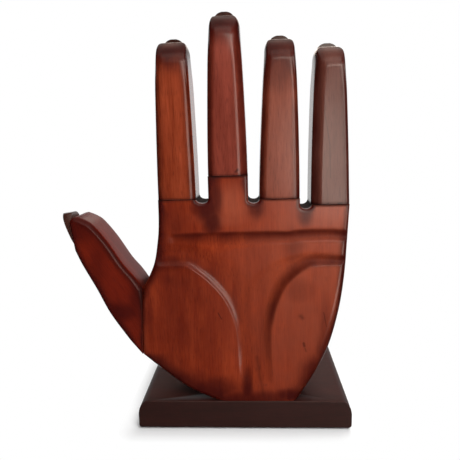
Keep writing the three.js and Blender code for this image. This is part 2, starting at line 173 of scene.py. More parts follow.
# %% Finger sizes, read from the frame
# Chosen first: the tip's width, the lean, the chamfers, how far the front turns away to the right, what is
# trimmed off the tip, how far the nail lies aside, how much stain the tip soaked up and how far down
FINGERS = {
    "index": {
        "tip": 19.0, "lean": 0.1, "left": 2.6, "right": 2.2, "turn": 0.0, "trim": 0.3, "nail": -1.2,
        "soak": 0.95, "soaked": 21,
    },
    "middle": {
        "tip": 18.2, "lean": -0.2, "left": 3.0, "right": 4.4, "turn": 0.0, "trim": 1.2, "nail": -0.6,
        "soak": 0.9, "soaked": 20,
    },
    "ring": {
        "tip": 17.8, "lean": 1.0, "left": 2.6, "right": 2.4, "turn": 0.2, "trim": 0.4, "nail": 0.6,
        "soak": 0.85, "soaked": 34,
    },
    "little": {
        "tip": 17.2, "lean": -1.0, "left": 4.6, "right": 1.8, "turn": 0.6, "trim": 0.2, "nail": 1.2,
        "soak": 0.2, "soaked": 20,
    },
}
for name, finger in FINGERS.items():
    low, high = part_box(f"{name}_finger")
    finger["seam"] = low.z / MM - HAND_ORIGIN[2] - GLUE_LINE
    finger["length"] = (high.z - low.z) / MM + GLUE_LINE - finger["trim"]
    foot = [v.co.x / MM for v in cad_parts[f"{name}_finger"].data.vertices if v.co.z < low.z + MM]
    finger["x"] = (min(foot) + max(foot)) / 2
    finger["foot"] = max(foot) - min(foot)
    print(name, {key: round(value, 2) for key, value in finger.items()})

# %% The palm's outline: x, height and the radius of the rounded front edge
SLOT_DROP = 2.4
SLOT_STEPS = 14
SLOT_ROUND = 1.5
JOINT_STEP = 2.0
JOINT_CLEAR = 4.0
FOOT_CLEAR = 11.0
LITTLE_SIDE = [[45, 16, 5.6], [54.4, 35, 6.2], [60.7, 59.3, 5.6], [63.7, 82.7, 4.2], [65, 109.5, 2.8]]
INDEX_SIDE = [[-50.3, 118.5, 2.8], [-51.5, 107.2, 3.0], [-54.8, 91.8, 3.4]]
CROTCH = [-62.3, 76.5, 3.2]
THUMB_SEAM = [[-62.78, 66, 0.9], [-63.43, 52, 0.5], [-63.98, 40, 0.6]]
HEEL = [-64.3, 33, 0.8]
HEEL_SIDE = [[-52.7, 21.2, 4.0], [-35.4, 7.6, 4.2]]
FOOT_LEFT = [-19, GLUE_LINE, 3.6]
FOOT_RIGHT = [34.5, GLUE_LINE, 3.6]


def straight_joint(start, stop, clear):
    """Points of an edge that stays square, clear of its rounded ends."""
    span = np.array(stop[:2], float) - start[:2]
    length = np.linalg.norm(span)
    along = np.arange(clear, length - clear, JOINT_STEP)
    return np.c_[np.array(start[:2]) + span * (along / length)[:, None], np.zeros(len(along))]


def slot_between(right, left):
    """The round-bottomed slot between two fingers, from the right finger's joint to the left one's."""
    start = right["x"] - right["foot"] / 2
    stop = left["x"] + left["foot"] / 2
    springing = min(right["seam"], left["seam"])
    turn = np.linspace(0, math.pi, SLOT_STEPS)
    across = (start + stop) / 2 + (start - stop) / 2 * np.cos(turn)
    bowl = np.c_[across, springing - SLOT_DROP * np.sin(turn)]
    drop = np.arange(right["seam"], springing + OUTLINE_STEP, -OUTLINE_STEP)
    rise = np.arange(left["seam"], springing + OUTLINE_STEP, -OUTLINE_STEP)[::-1]
    sides = [np.c_[np.full(len(run), x), run] for x, run in ((start, drop), (stop, rise))]
    points = np.vstack([sides[0], bowl, sides[1]])
    return np.c_[points, np.full(len(points), SLOT_ROUND)]


def beside_seam(aside):
    """The thumb's seam from the crotch to the heel, moved aside by half the glue line."""
    return np.array([CROTCH, *THUMB_SEAM, HEEL]) + [aside, 0, 0]


def palm_outline():
    order = list(FINGERS.values())[::-1]
    top_right = [order[0]["x"] + order[0]["foot"] / 2, order[0]["seam"], order[0]["right"]]
    top_left = [order[-1]["x"] - order[-1]["foot"] / 2, order[-1]["seam"], order[-1]["left"]]
    rounded = [curve_through([FOOT_RIGHT, *LITTLE_SIDE, top_right], OUTLINE_STEP)]
    rounded += [slot_between(right, left) for right, left in zip(order, order[1:])]
    seam = beside_seam(GLUE_LINE / 2)
    side = curve_through([top_left, *INDEX_SIDE, seam[0]], OUTLINE_STEP)
    heel = curve_through([seam[-1], *HEEL_SIDE, FOOT_LEFT], OUTLINE_STEP)
    rounded.append(np.vstack([side[:-1], curve_through(seam, OUTLINE_STEP), heel[1:]]))
    points = []
    square = []
    for run, following in zip(rounded, rounded[1:] + rounded[:1]):
        at_foot = following is rounded[0]
        joint = straight_joint(run[-1], following[0], FOOT_CLEAR if at_foot else JOINT_CLEAR)
        points += [run, joint]
        square += [False] * (len(run) - 1) + [True] * (len(joint) + 1)
    return np.vstack(points), np.array(square)


palm_edge, palm_square = palm_outline()
print("palm outline:", len(palm_edge), "points")

# %% [markdown]
# The heart line, the life line and the head line are carved into the palm's face with a gouge. Each is a
# cove: crisp and steep along one edge, then hollow, then rising slowly on its far side. A displaced grid
# would blur the crisp edge, so the face is triangulated through points laid along each line, and its
# depth is a formula of the distance to that edge.

# %% Palm lines: cove and far side at even stations, then how strongly and how far stain soaked in, with painted shade
PALM_LINES = [
    {
        "path": [
            [84, 111.6], [66, 112], [60, 112.5], [54, 112.9], [36, 112.9], [29, 112], [20, 112.2],
            [0, 112.2], [-24.6, 111.9], [-46, 111.5],
        ],
        "cove": (4, 4, 4, 3.6, 3), "depth": (1.4, 1.4, 1.4, 1.3, 0.6), "far": (3, 3, 4, 9, 6),
        "soak": (0.62, 0.66, 0.68, 0.68, 0.6), "wet": 8.5, "dull": 1, "power": 3,
    },
    {
        "path": [
            [-63, 91.3], [-47, 91.4], [-36.5, 91.4], [-31.1, 89.5], [-20.5, 81], [-11.7, 70.5],
            [-6.6, 59.9], [-3.7, 49.2], [-2.8, 38.4], [-2.6, 27.5], [-1.9, 12],
        ],
        "cove": (5.5, 6, 6, 5, 4), "depth": (1.4, 2.1, 2.1, 1.4, 0.3), "far": (6, 12, 18, 14, 6),
        "soak": (0.8, 0.45, 0.4, 0.3, 0.1), "wet": 8.0, "dull": 0, "power": 3,
    },
    {
        "path": [
            [19.3, 9], [18.9, 20.5], [18.1, 43.7], [19.4, 55.7], [22.2, 66.3], [26.9, 76.6], [33.5, 84.2],
            [41, 89.2], [47, 90.6], [60, 90.8], [74, 90.7],
        ],
        "cove": (5, 7, 8, 4, 2), "depth": (0.4, 1.6, 2.6, 2, 1.4), "far": (8, 14, 16, 5, 2.6),
        "soak": (0.1, 0.42, 0.85, 0.78, 0.62), "wet": 8.0, "dull": 1, "power": 2,
    },
]
LINE_STEP = 0.25
LINE_FADE = 6.0
RIDGE_BLEND = 3
WET_EDGE = 4.0
CRISPNESS = 0.28
POINTS_AT_ONCE = 2000
# The face's mesh takes points so far aside of each line's edge, then at shares of its cove and far side
MESH_EVERY = 3
EDGE_ASIDES = np.arange(-1.2, 1.2, 0.2)
COVE_SHARES = (0.2, 0.3, 0.4, 0.5, 0.6, 0.7, 0.8, 0.9, 1)
FAR_SHARES = (0.15, 0.3, 0.45, 0.6, 0.75, 0.9, 1)


def along_line(stations, share):
    return np.interp(share, np.linspace(0, 1, len(stations)), stations)


def line_frame(line):
    """Points along a palm line's crisp edge, the direction to its cove, and the length so far."""
    path = curve_through(line["path"], LINE_STEP)
    run = np.gradient(path, axis=0)
    run /= np.linalg.norm(run, axis=1, keepdims=True)
    steps = np.linalg.norm(np.diff(path, axis=0), axis=1)
    return path, np.c_[-run[:, 1], run[:, 0]], np.r_[0, np.cumsum(steps)]


def nearest_on(points, path):
    """Which point of the path lies nearest to each point."""
    parts = np.array_split(points, len(points) // POINTS_AT_ONCE + 1)
    return np.concatenate([((some[:, None] - path) ** 2).sum(2).argmin(1) for some in parts])


def one_line(line, points):
    """What one line does at each point: how deep it is, how much stain and painted shade it gets, and how
    dull it is.
    """
    path, cove_way, length = line_frame(line)
    nearest = nearest_on(points, path)
    aside = ((points - path[nearest]) * cove_way[nearest]).sum(1)
    arc = length[nearest]
    shapes = (line[key] for key in ("cove", "depth", "far", "soak"))
    cove, deep, far, soak = (along_line(stations, arc / length[-1]) for stations in shapes)
    fall = deep * (1 - (1 - aside / cove) ** line["power"])
    fall = (fall + np.sqrt(fall**2 + CRISPNESS**2)) / 2
    rise = deep * (1 + np.cos(math.pi * np.clip((aside - cove) / far, 0, 1))) / 2
    fade = ease(np.minimum(arc, length[-1] - arc) / LINE_FADE)
    past_edge = ease(aside / WET_EDGE + 0.5)
    wet = past_edge * np.clip(1 - aside / line["wet"], 0, 1)
    dull = line["dull"] * past_edge * (1 - ease((aside - cove - far) / WET_EDGE + 0.5))
    return np.where(aside < cove, fall, rise) * fade, soak * wet * fade, dull * fade


def carved(points):
    """How deep the palm's face is carved at each point, how much stain and painted shade it gets, and how
    dull it is.
    """
    lines = [one_line(line, np.asarray(points, float)) for line in PALM_LINES]
    depth, soak, dull = np.transpose(lines, (1, 0, 2))
    return (depth**RIDGE_BLEND).sum(axis=0) ** (1 / RIDGE_BLEND), soak.max(axis=0), dull.max(axis=0)


def points_along_lines():
    """Points for the face's mesh, close together across each crisp edge."""
    chosen = []
    for line in PALM_LINES:
        path, cove_way, length = line_frame(line)
        cove, far = (along_line(line[key], length / length[-1])[:, None] for key in ("cove", "far"))
        offsets = [cove_way * aside for aside in EDGE_ASIDES]
        offsets += [cove_way * share * cove for share in COVE_SHARES]
        offsets += [cove_way * (cove + share * far) for share in FAR_SHARES]
        chosen += [(path + offset)[::MESH_EVERY] for offset in offsets]
    return np.vstack(chosen)


print("palm lines carved", round(max(carved(points_along_lines())[0]), 2), "mm deep at most")

# %% [markdown]
# A board's edge is planed to a chamfer, then sanded, which rounds both its arrises. Rings of points
# follow the outline from the front face over the edge to the back face. Where a chamfer ends at a square
# joint, its points slide along the joint, so that the two pieces meet in the same section.

# %% The section of a worked edge
ARRIS_STEPS = 4
LEAST_STEP = 0.15
UNTANGLE_ROUNDS = 600


def chamfer_section(sanded):
    """A chamfer with sanded arrises, from the side to the face: shares inwards and still to rise."""
    way = np.array([[0, 1], [0, 1 - sanded], [1 - sanded, 0], [1, 0]])
    reach = sanded / np.linalg.norm(way[2] - way[1]) * (way[2] - way[1])
    t = np.linspace(0, 1, ARRIS_STEPS + 1)[:, None]
    low = way[0] * (1 - t) ** 2 + way[1] * 2 * t * (1 - t) + (way[1] + reach) * t**2
    high = (way[2] - reach) * (1 - t) ** 2 + way[2] * 2 * t * (1 - t) + way[3] * t**2
    middle = (low[-1:] + high[:1]) / 2
    return np.vstack([low, middle, high]).T


def edge_insets(edge, square):
    """How far each outline point moves inwards from the board's side to its face."""
    outline = edge[:, :2]
    ahead = np.roll(outline, -1, axis=0) - outline
    ahead /= np.linalg.norm(ahead, axis=1, keepdims=True)
    normal = np.c_[-ahead[:, 1], ahead[:, 0]]
    behind = np.roll(normal, 1, axis=0)
    middle = normal + behind
    middle /= np.linalg.norm(middle, axis=1, keepdims=True)
    moves = middle * (edge[:, 2] / (middle * normal).sum(1))[:, None]
    square_behind = np.roll(square, 1)
    for i in np.flatnonzero(square != square_behind):
        want = [0 if square_behind[i] else edge[i, 2], 0 if square[i] else edge[i, 2]]
        moves[i] = np.linalg.solve(np.array([behind[i], normal[i]]), want)
    return untangled(outline, moves)


def untangled(outline, moves):
    """Slides crowded points along the outline until none of them passes its neighbour."""
    step = np.roll(outline, -1, axis=0) - outline
    length = np.linalg.norm(step, axis=1)
    way = step / length[:, None]
    for _ in range(UNTANGLE_ROUNDS):
        place = outline + moves
        run = ((np.roll(place, -1, axis=0) - place) * way).sum(1)
        push = way * (np.clip(LEAST_STEP * length - run, 0, None) / 2)[:, None]
        moves = moves - push + np.roll(push, 1, axis=0)
    return moves


# %% Triangles over a face
FACE_MARGIN = 0.5
CELL = 0.2
INSIDE_ONLY = 1
SAME_POINT = 1e-6


def edge_gap(points, outline):
    """The distance from each point to the nearest stretch of the outline, and whether it lies inside."""
    ahead = np.roll(outline, -1, axis=0)
    span = ahead - outline
    size = (span**2).sum(1)
    gaps = []
    inside = []
    for some in np.array_split(np.asarray(points, float), len(points) // POINTS_AT_ONCE + 1):
        offset = some[:, None] - outline
        share = np.clip((offset * span).sum(2) / size, 0, 1)
        gaps.append(np.sqrt(((offset - span * share[:, :, None]) ** 2).sum(2)).min(1))
        crosses = (outline[:, 1] > some[:, 1:]) != (ahead[:, 1] > some[:, 1:])
        rise = np.where(span[:, 1] == 0, 1, span[:, 1])
        cut = outline[:, 0] + (some[:, 1:] - outline[:, 1]) * span[:, 0] / rise
        inside.append((crosses & (some[:, :1] < cut)).sum(1) % 2 == 1)
    return np.concatenate(gaps), np.concatenate(inside)


def face_points(rim, extra, spacing):
    """A grid and the extra points, as far as they lie inside the rim and apart from each other."""
    low, high = rim.min(0), rim.max(0)
    columns, rows = (np.arange(a, b, spacing) for a, b in zip(low, high))
    grid = np.stack(np.meshgrid(columns, rows), axis=-1).reshape(-1, 2)
    points = np.vstack([*extra, grid])
    gap, inside = edge_gap(points, rim)
    points = points[inside & (gap > FACE_MARGIN)]
    _, first = np.unique(np.round(points / CELL), axis=0, return_index=True)
    return points[np.sort(first)]


def cover(rim, inner):
    """Triangles over a rim and the points inside it, counted rim first."""
    points = [Vector(p) for p in np.vstack([rim, inner])]
    found = delaunay_2d_cdt(points, [], [range(len(rim))], INSIDE_ONLY, SAME_POINT)
    origin = [first[0] for first in found[3]]
    return [[origin[i] for i in face] for face in found[2]]


# %% Boards with worked edges
BACK_ROUND = 2.6
PALM_SANDED = 0.35
WALL_RINGS = 4
FACE_GRID = 1.4
BACK_GRID = 2 * FACE_GRID


def quads_between(rings):
    """Faces from each ring to the next, counted with the rings laid end to end."""
    count = len(rings[0])
    for r in range(len(rings) - 1):
        for i in range(count):
            j = (i + 1) % count
            yield [r * count + i, r * count + j, (r + 1) * count + j, (r + 1) * count + i]


def board_rings(edge, square, sanded, carve):
    """Rings of points from the front face's rim, over the side, to the back face's rim."""
    inward, rise = chamfer_section(sanded)
    back_edge = np.c_[edge[:, :2], np.minimum(edge[:, 2], BACK_ROUND)]
    front_moves = edge_insets(edge, square)
    back_moves = edge_insets(back_edge, square)
    rings = []
    for a, b in zip(inward[::-1], rise[::-1]):
        place = edge[:, :2] + front_moves * a
        depth = edge[:, 2] * b
        if carve:
            depth = np.maximum(depth, carve(place)[0])
        rings.append(np.c_[place[:, 0], depth, place[:, 1]])
    side_front = rings[-1]
    side_back = np.c_[edge[:, 0], HAND_THICKNESS - back_edge[:, 2], edge[:, 1]]
    for share in np.arange(1, WALL_RINGS) / WALL_RINGS:
        rings.append(side_front + (side_back - side_front) * share)
    for a, b in zip(inward, rise):
        place = edge[:, :2] + back_moves * a
        rings.append(np.c_[place[:, 0], HAND_THICKNESS - back_edge[:, 2] * b, place[:, 1]])
    return rings


def worked_board(name, edge, square, sanded, extra=(), carve=None):
    """A board with its front edge chamfered to the outline's widths, and a carved front face."""
    rings = board_rings(edge, square, sanded, carve)
    count = len(edge)
    faces = [[a, d, c, b] for a, b, c, d in quads_between(rings)]
    points = np.vstack(rings)
    for ring, depth, spacing in ((0, 0, FACE_GRID), (len(rings) - 1, HAND_THICKNESS, BACK_GRID)):
        rim = rings[ring][:, [0, 2]]
        at_front = ring == 0
        inner = face_points(rim, extra if at_front else (), spacing)
        dug = carve(inner)[0] if carve and at_front else np.zeros(len(inner))
        place = np.r_[np.arange(count) + ring * count, np.arange(len(inner)) + len(points)]
        triangles = place[np.array(cover(rim, inner))]
        faces += (triangles if at_front else triangles[:, ::-1]).tolist()
        points = np.vstack([points, np.c_[inner[:, 0], depth + dug, inner[:, 1]]])
    return make_piece(name, points, faces), points


palm, palm_points = worked_board(
    "carved_palm", palm_edge, palm_square, PALM_SANDED, [points_along_lines()], carved
)

# %% [markdown]
# Stain goes on with a rag. It gathers in grooves, joints and slots, soaks into end grain, darkens the
# worked edges and leaves blotches. The same masks also paint shade: in the slots and the palm lines, on
# the chamfers, and along the foot and the lower right edge. Those places are worked out from the shape
# and kept on the points as masks, so that the finish can darken them with ragged borders. Two more masks
# say where pale patches of painted sheen lie and where the lacquer is rubbed dull.

# %% Where stain and dirt gather on the palm, and where shade and sheen are painted on it
EDGE_REACH = 2.0
EDGE_LEAST = 0.6
EDGE_MOST = 6.5
# Round the heel the dark edge, painted shade on the chamfer there, is wider by this share, below this
# height and fading in over as much again
HEEL_SHADE_SPREAD = 0.75
HEEL_HEIGHT = 30
SIDE_CLEAN = 0.8
SLOT_CLEAN = 2.5
SEAM_DIRT = 0.6
SEAM_DIRT_REACH = 0.5
# Dirt and painted shade in the palm lines
GROOVE_DIRT_AND_SHADE = 0.1
# Past the ends of a finger's joint, its dirt counts as this much further away
OFF_JOINT = 5
BLOTCH_FALL = 0.7
BLOTCH_POWER = 1.5
# Each blotch is x, height, half width, half height and strength. Most are stain; those along the foot and
# by the lower right edge are painted shade
PALM_STAINS_AND_SHADE = [
    [-20, 127, 5.5, 8, 0.9], [-17.5, 118, 4.5, 9, 0.85], [-14, 133, 3, 10, 0.6], [-26, 127, 4, 4, 0.5],
    [10, 127, 4.5, 6, 0.75], [39, 124, 4, 8, 0.6], [-16, 144, 4, 4, 0.5], [5, 142, 4, 5, 0.5],
    [-48, 128, 3, 6, 0.45], [-18, 8, 10, 5, 0.7], [2.5, 10, 3, 12, 0.85], [28, 4, 7, 4, 0.8],
    [-36, 6, 9, 4, 0.5], [32, 104, 7, 9, 0.25], [-46, 92.5, 11, 5, 0.6], [-52, 100, 5, 16, 0.35],
    [-60, 60, 4, 22, 0.3], [52, 50, 4, 20, 0.35], [36, 74, 9, 8, 0.25], [-36, 58, 26, 34, 0.2],
    [-44, 118, 12, 16, 0.28], [-42, 103, 14, 10, 0.18], [8, 0, 34, 6, 0.75], [-20, 9, 13, 7, 0.65],
    [8, 52, 13, 44, 0.15], [38, 46, 20, 34, 0.13], [54, 38, 8, 14, 0.35], [45, 21, 11, 11, 0.35],
    [-46, 27, 12, 9, 0.22], [-34, 13, 12, 9, 0.4], [-38, 85, 15, 10, 0.3],
]
# The lacquer is rubbed dull where the hand is picked up
PALM_WORN = [[57, 44, 9, 14, 0.9], [46, 24, 10, 12, 0.8], [-40, 91, 11, 5, 0.8]]
# Painted sheen: pale patches, most of them towards the little finger, where the lacquer reflects light
PALM_PAINTED_SHEEN = [
    [62, 124, 26, 14, 0.14], [48, 80, 45, 70, 0.22], [-3, 130, 11, 10, 0.25], [-4, 121, 18, 5, 0.15],
]


def blotches(points, places):
    """Soft-edged ovals, each counted from 0 to its own strength."""
    total = np.zeros(len(points))
    for x, height, half_width, half_height, strength in places:
        away = ((points[:, 0] - x) / half_width) ** 2 + ((points[:, 2] - height) / half_height) ** 2
        total = np.maximum(total, strength * np.exp(-BLOTCH_FALL * away**BLOTCH_POWER))
    return total


def edge_stain_and_shade(points, edge, reach=EDGE_REACH, spread=1):
    """Stain and painted shade on the worked edges: 0 on the board's sides, 1 on its chamfers, and fading a
    little way on to its faces.
    """
    flat = points[:, [0, 2]]
    gap, _ = edge_gap(flat, edge[:, :2])
    nearest = nearest_on(flat, edge[:, :2])
    width = spread * np.minimum(reach * edge[nearest, 2] + EDGE_LEAST, EDGE_MOST)
    return ease(gap / SIDE_CLEAN) * (1 - ease(gap / width))


def slot_dirt_and_shade(points):
    """Dirt and painted shade: 1 deep on the walls of the slots between the fingers."""
    inside = np.zeros(len(points))
    order = list(FINGERS.values())
    for left, right in zip(order, order[1:]):
        start, stop = left["x"] + left["foot"] / 2, right["x"] - right["foot"] / 2
        across = np.abs(points[:, 0] - (start + stop) / 2) - (stop - start) / 2
        below = min(left["seam"], right["seam"]) - SLOT_DROP - points[:, 2]
        inside = np.maximum(inside, (across < SLOT_ROUND / 2) * (below < SLOT_ROUND / 2))
    return inside * ease((points[:, 1] - SLOT_ROUND) / SLOT_CLEAN)


def seam_dirt(gap, most=SEAM_DIRT, reach=SEAM_DIRT_REACH):
    """Dirt in a glue line, fading with the distance from it."""
    return most * np.exp(-gap / reach)


palm_x, palm_depth, palm_height = palm_points.T
palm_seams = np.min([
    np.abs(palm_height - f["seam"]) + OFF_JOINT * (np.abs(palm_x - f["x"]) > f["foot"] / 2)
    for f in FINGERS.values()
], axis=0)
palm_front = palm_depth < HAND_THICKNESS / 2
palm_carving = carved(palm_points[:, [0, 2]])
palm_groove_stain_and_shade, palm_dull = (np.where(palm_front, mask, 0) for mask in palm_carving[1:])
heel_shade_spread = 1 + HEEL_SHADE_SPREAD * ease(2 - palm_height / HEEL_HEIGHT)
palm_stains_and_shade = np.where(palm_front, blotches(palm_points, PALM_STAINS_AND_SHADE), 0)
# The palm's masks carry painted light too: shade in the slots, the lines, on the chamfers and along the
# foot, and sheen in the pale patches
paint(
    palm,
    dirt=np.max([seam_dirt(palm_seams), slot_dirt_and_shade(palm_points), GROOVE_DIRT_AND_SHADE * palm_groove_stain_and_shade], axis=0),
    dull=np.maximum(palm_dull, blotches(palm_points, PALM_WORN)),
    stain=np.maximum(palm_groove_stain_and_shade, palm_stains_and_shade),
    pale=np.where(palm_front, blotches(palm_points, PALM_PAINTED_SHEEN), 0),
    # stain and painted shade on the chamfers, wider round the heel
    edge=edge_stain_and_shade(palm_points, palm_edge, spread=heel_shade_spread),
)

# %% [markdown]
# Each finger is a tapering bar with its four long corners planed to chamfers, and a tip that rolls back
# towards the nail. It is a loft: one section after another up the finger, each a rectangle with its
# corners cut and its arrises just broken. Points on both sides of every arris hold the faces flat.

# %% Sections with broken arrises
ARRIS_HOLD = 0.25
FACE_PARTS = 12
# A rounded corner and its hold take at most these shares of the shorter side beside them
ARRIS_MOST = 0.4
HOLD_MOST = 0.08


def broken(corners, radii):
    """A polygon with each corner rounded, held flat beside it, and its sides divided."""
    corners = np.asarray(corners, float)
    radii = np.broadcast_to(radii, len(corners))
    ahead = np.roll(corners, -1, axis=0) - corners
    length = np.linalg.norm(ahead, axis=1)
    ahead /= length[:, None]
    behind = np.roll(ahead, 1, axis=0)
    points = []
    rooms = np.minimum(length, np.roll(length, 1))
    for corner, coming, going, room, radius in zip(corners, behind, ahead, rooms, radii):
        turn = math.acos(np.clip(coming @ going, -1, 1))
        back = min(radius * math.tan(turn / 2), ARRIS_MOST * room)
        hold = min(ARRIS_HOLD, HOLD_MOST * room)
        points.append(corner - coming * (back + hold))
        for t in np.linspace(0, 1, ARRIS_STEPS + 1):
            points.append(corner - coming * back * (1 - t) ** 2 + going * back * t**2)
        points.append(corner + going * (back + hold))
    filled = []
    per_corner = ARRIS_STEPS + 3
    for i, point in enumerate(points):
        filled.append(point)
        if i % per_corner == per_corner - 1:
            following = points[(i + 1) % len(points)]
            filled += [point + (following - point) * k / FACE_PARTS for k in range(1, FACE_PARTS)]
    return np.array(filled)


def skin(rings):
    """Points and faces of a closed skin through rings that run anticlockwise seen from the last one."""
    count = len(rings[0])
    faces = list(quads_between(rings))
    faces.append(list(range(count))[::-1])
    faces.append([(len(rings) - 1) * count + i for i in range(count)])
    return np.vstack(rings), faces


# %% Fingers
FINGER_TAPER = 1.5
BACK_CHAMFER = 2.4
TIP_SLOPE_HEIGHT = 13.5
TIP_SLOPE_DEPTH = 15
TIP_CORNER_HEIGHT = 7.5
TIP_CORNER_INSET = 4.4
TIP_CHAMFER_SHARE = 0.7
LEAST_CHAMFER = 1.0
NAIL_BED_LENGTH = 22
NAIL_BED_DEPTH = 2.8
ARRIS = 3.2
TIP_REACH = 28
TIP_SANDING = 12
TIP_SOAKED = 7
TIP_STAIN_POWER = 1.2
TIP_DIRT = 0.3
TIP_DIRT_POWER = 3
CORNER_STAIN = 0.8
CORNER_STAIN_HEIGHT = 4
CORNER_STAIN_POWER = 3
# How far in from the sides the chamfers' dark reaches, and how strong it is: stain and painted shade
FINGER_EDGE = 5.6
FINGER_EDGE_STAIN_AND_SHADE = 0.7
TURN_RISE = 12
SLOPE_LEAD = 2
SHAFT_STEP = 1.6
TIP_STEPS = 34


def finger_section(finger, height):
    """The finger's section at a height above its seam: x and depth, anticlockwise from above."""
    body_up = min(1, height / (finger["length"] - TIP_CORNER_HEIGHT))
    width = finger["foot"] - (finger["foot"] - finger["tip"]) * body_up**FINGER_TAPER

    def roll(span):
        return 1 - math.sqrt(1 - min(1, max(0, (height - finger["length"] + span) / span)) ** 2)

    inset = TIP_CORNER_INSET * roll(TIP_CORNER_HEIGHT)
    half = width / 2 - inset
    front = TIP_SLOPE_DEPTH * roll(TIP_SLOPE_HEIGHT)
    bed_up = max(0, 1 - (finger["length"] - height) / NAIL_BED_LENGTH)
    back = HAND_THICKNESS - NAIL_BED_DEPTH * bed_up
    limit = half * TIP_CHAMFER_SHARE
    left, right = (min(max(finger[side] - inset, LEAST_CHAMFER), limit) for side in ("left", "right"))
    rear = min(BACK_CHAMFER, limit)
    turn = finger["turn"] * ease(height / TURN_RISE) * (1 - roll(TIP_SLOPE_HEIGHT))
    corners = [
        [-half, front + left], [-half + left, front],
        [half - right, front + turn], [half, front + right + turn],
        [half, back - rear], [half - rear, back],
        [-half + rear, back], [-half, back - rear],
    ]
    near_tip = ease((height - finger["length"] + TIP_REACH) / TIP_REACH)
    section = broken(corners, ARRIS)
    rounded = np.mean([np.roll(section, k, axis=0) for k in range(-TIP_SANDING, TIP_SANDING + 1)], axis=0)
    low, high = section.min(axis=0), section.max(axis=0)
    rounded = low + (rounded - rounded.min(axis=0)) / np.ptp(rounded, axis=0) * (high - low)
    section += (rounded - section) * near_tip
    section[:, 0] += finger["x"] + finger["lean"] * height / finger["length"]
    return np.c_[section, np.full(len(section), finger["seam"] + height)]


def finger_piece(name, finger):
    slope_foot = finger["length"] - TIP_SLOPE_HEIGHT - SLOPE_LEAD
    shaft = np.linspace(GLUE_LINE, slope_foot, round(slope_foot / SHAFT_STEP))
    tip = slope_foot + (finger["length"] - slope_foot) * np.sin(np.linspace(0, math.pi / 2, TIP_STEPS))[1:]
    rings = [finger_section(finger, height) for height in [*shaft, *tip]]
    points, faces = skin(rings)
    piece = make_piece(f"carved_{name}_finger", points, faces)
    height = points[:, 2] - finger["seam"]
    across = (points[:, 0] - finger["x"]) / (finger["foot"] / 2)
    soaked = (height - finger["length"] + finger["soaked"]) / (finger["soaked"] - TIP_SOAKED)
    tip_stain = finger["soak"] * np.clip(soaked, 0, 1) ** TIP_STAIN_POWER
    near_foot = np.exp(-height / CORNER_STAIN_HEIGHT)
    corner_stain = CORNER_STAIN * near_foot * np.abs(across) ** CORNER_STAIN_POWER
    sideways = np.array(rings)[:, :, 0]
    low, high = sideways.min(axis=1, keepdims=True), sideways.max(axis=1, keepdims=True)
    inwards = np.minimum(sideways - low, high - sideways).ravel()
    paint(
        piece,
        dirt=np.maximum(seam_dirt(height), TIP_DIRT * tip_stain**TIP_DIRT_POWER),
        stain=np.maximum(tip_stain, corner_stain),
        # stain and painted shade on the chamfers
        edge=FINGER_EDGE_STAIN_AND_SHADE * ease(inwards / SIDE_CLEAN) * (1 - ease(inwards / FINGER_EDGE)),
    )
    return piece


fingers = {name: finger_piece(name, finger) for name, finger in FINGERS.items()}

# %% [markdown]
# The thumb is one more sawn board, glued to the palm's side and worked with a crisp chamfer. Its outline
# starts at the crotch, climbs the inner edge, rounds the tip and comes down past the flat bed that
# carries the nail.

# %% Thumb
THUMB_INNER = [
    [-67.5, 84.3, 3.0], [-74, 92.5, 3.0], [-82.7, 106.5, 3.0], [-91, 117.2, 3.2], [-96, 120.8, 3.4],
]
THUMB_TIP = [-101, 122.9, 3.2]
THUMB_BED_TOP = [-105.7, 119, 1.6]
THUMB_BED_FOOT = [-103.5, 102, 1.6]
THUMB_OUTER = [
    [-99.6, 92.4, 1.8], [-91.7, 76.5, 2.0], [-84.3, 60.4, 2.2], [-73.7, 43.9, 2.0], [-68.34, 37.42, 1.0],
]
THUMB_HEEL_ROUND = 0.2
TIP_CURVE_STEPS = 10
BED_STEPS = 20
THUMB_SANDED = 0.3
THUMB_EDGE_REACH = 2.4
THUMB_WORN = 0.7
THUMB_BACK_STAIN = 0.3
THUMB_SEAM_DIRT = 0.5
THUMB_SEAM_REACH = 1.0
SEAM_MIDDLE = -63.4
THUMB_BLOTCHES = [
    [-76, 62, 12, 5, 0.65], [-66, 66, 4, 12, 0.5], [-100, 117, 9, 9, 0.5], [-90, 88, 4, 16, 0.25],
]


def thumb_outline():
    seam = beside_seam(-GLUE_LINE / 2)[::-1]
    seam[0, 2] = THUMB_HEEL_ROUND
    inner = curve_through([seam[-1], *THUMB_INNER, THUMB_TIP], OUTLINE_STEP)
    t = np.linspace(0, 1, TIP_CURVE_STEPS)[:, None]
    tip, bed_top, bed_foot = (np.array(p, float) for p in (THUMB_TIP, THUMB_BED_TOP, THUMB_BED_FOOT))
    knee = np.array([bed_top[0], tip[1], (tip[2] + bed_top[2]) / 2])
    corner = tip * (1 - t) ** 2 + knee * 2 * t * (1 - t) + bed_top * t**2
    bed = bed_top + (bed_foot - bed_top) * np.linspace(0, 1, BED_STEPS)[:, None]
    outer = curve_through([THUMB_BED_FOOT, *THUMB_OUTER, seam[0]], OUTLINE_STEP)
    edge = np.vstack([inner[1:], corner[1:], bed[1:], outer[1:-1], curve_through(seam, OUTLINE_STEP)])
    return edge, np.zeros(len(edge), bool)


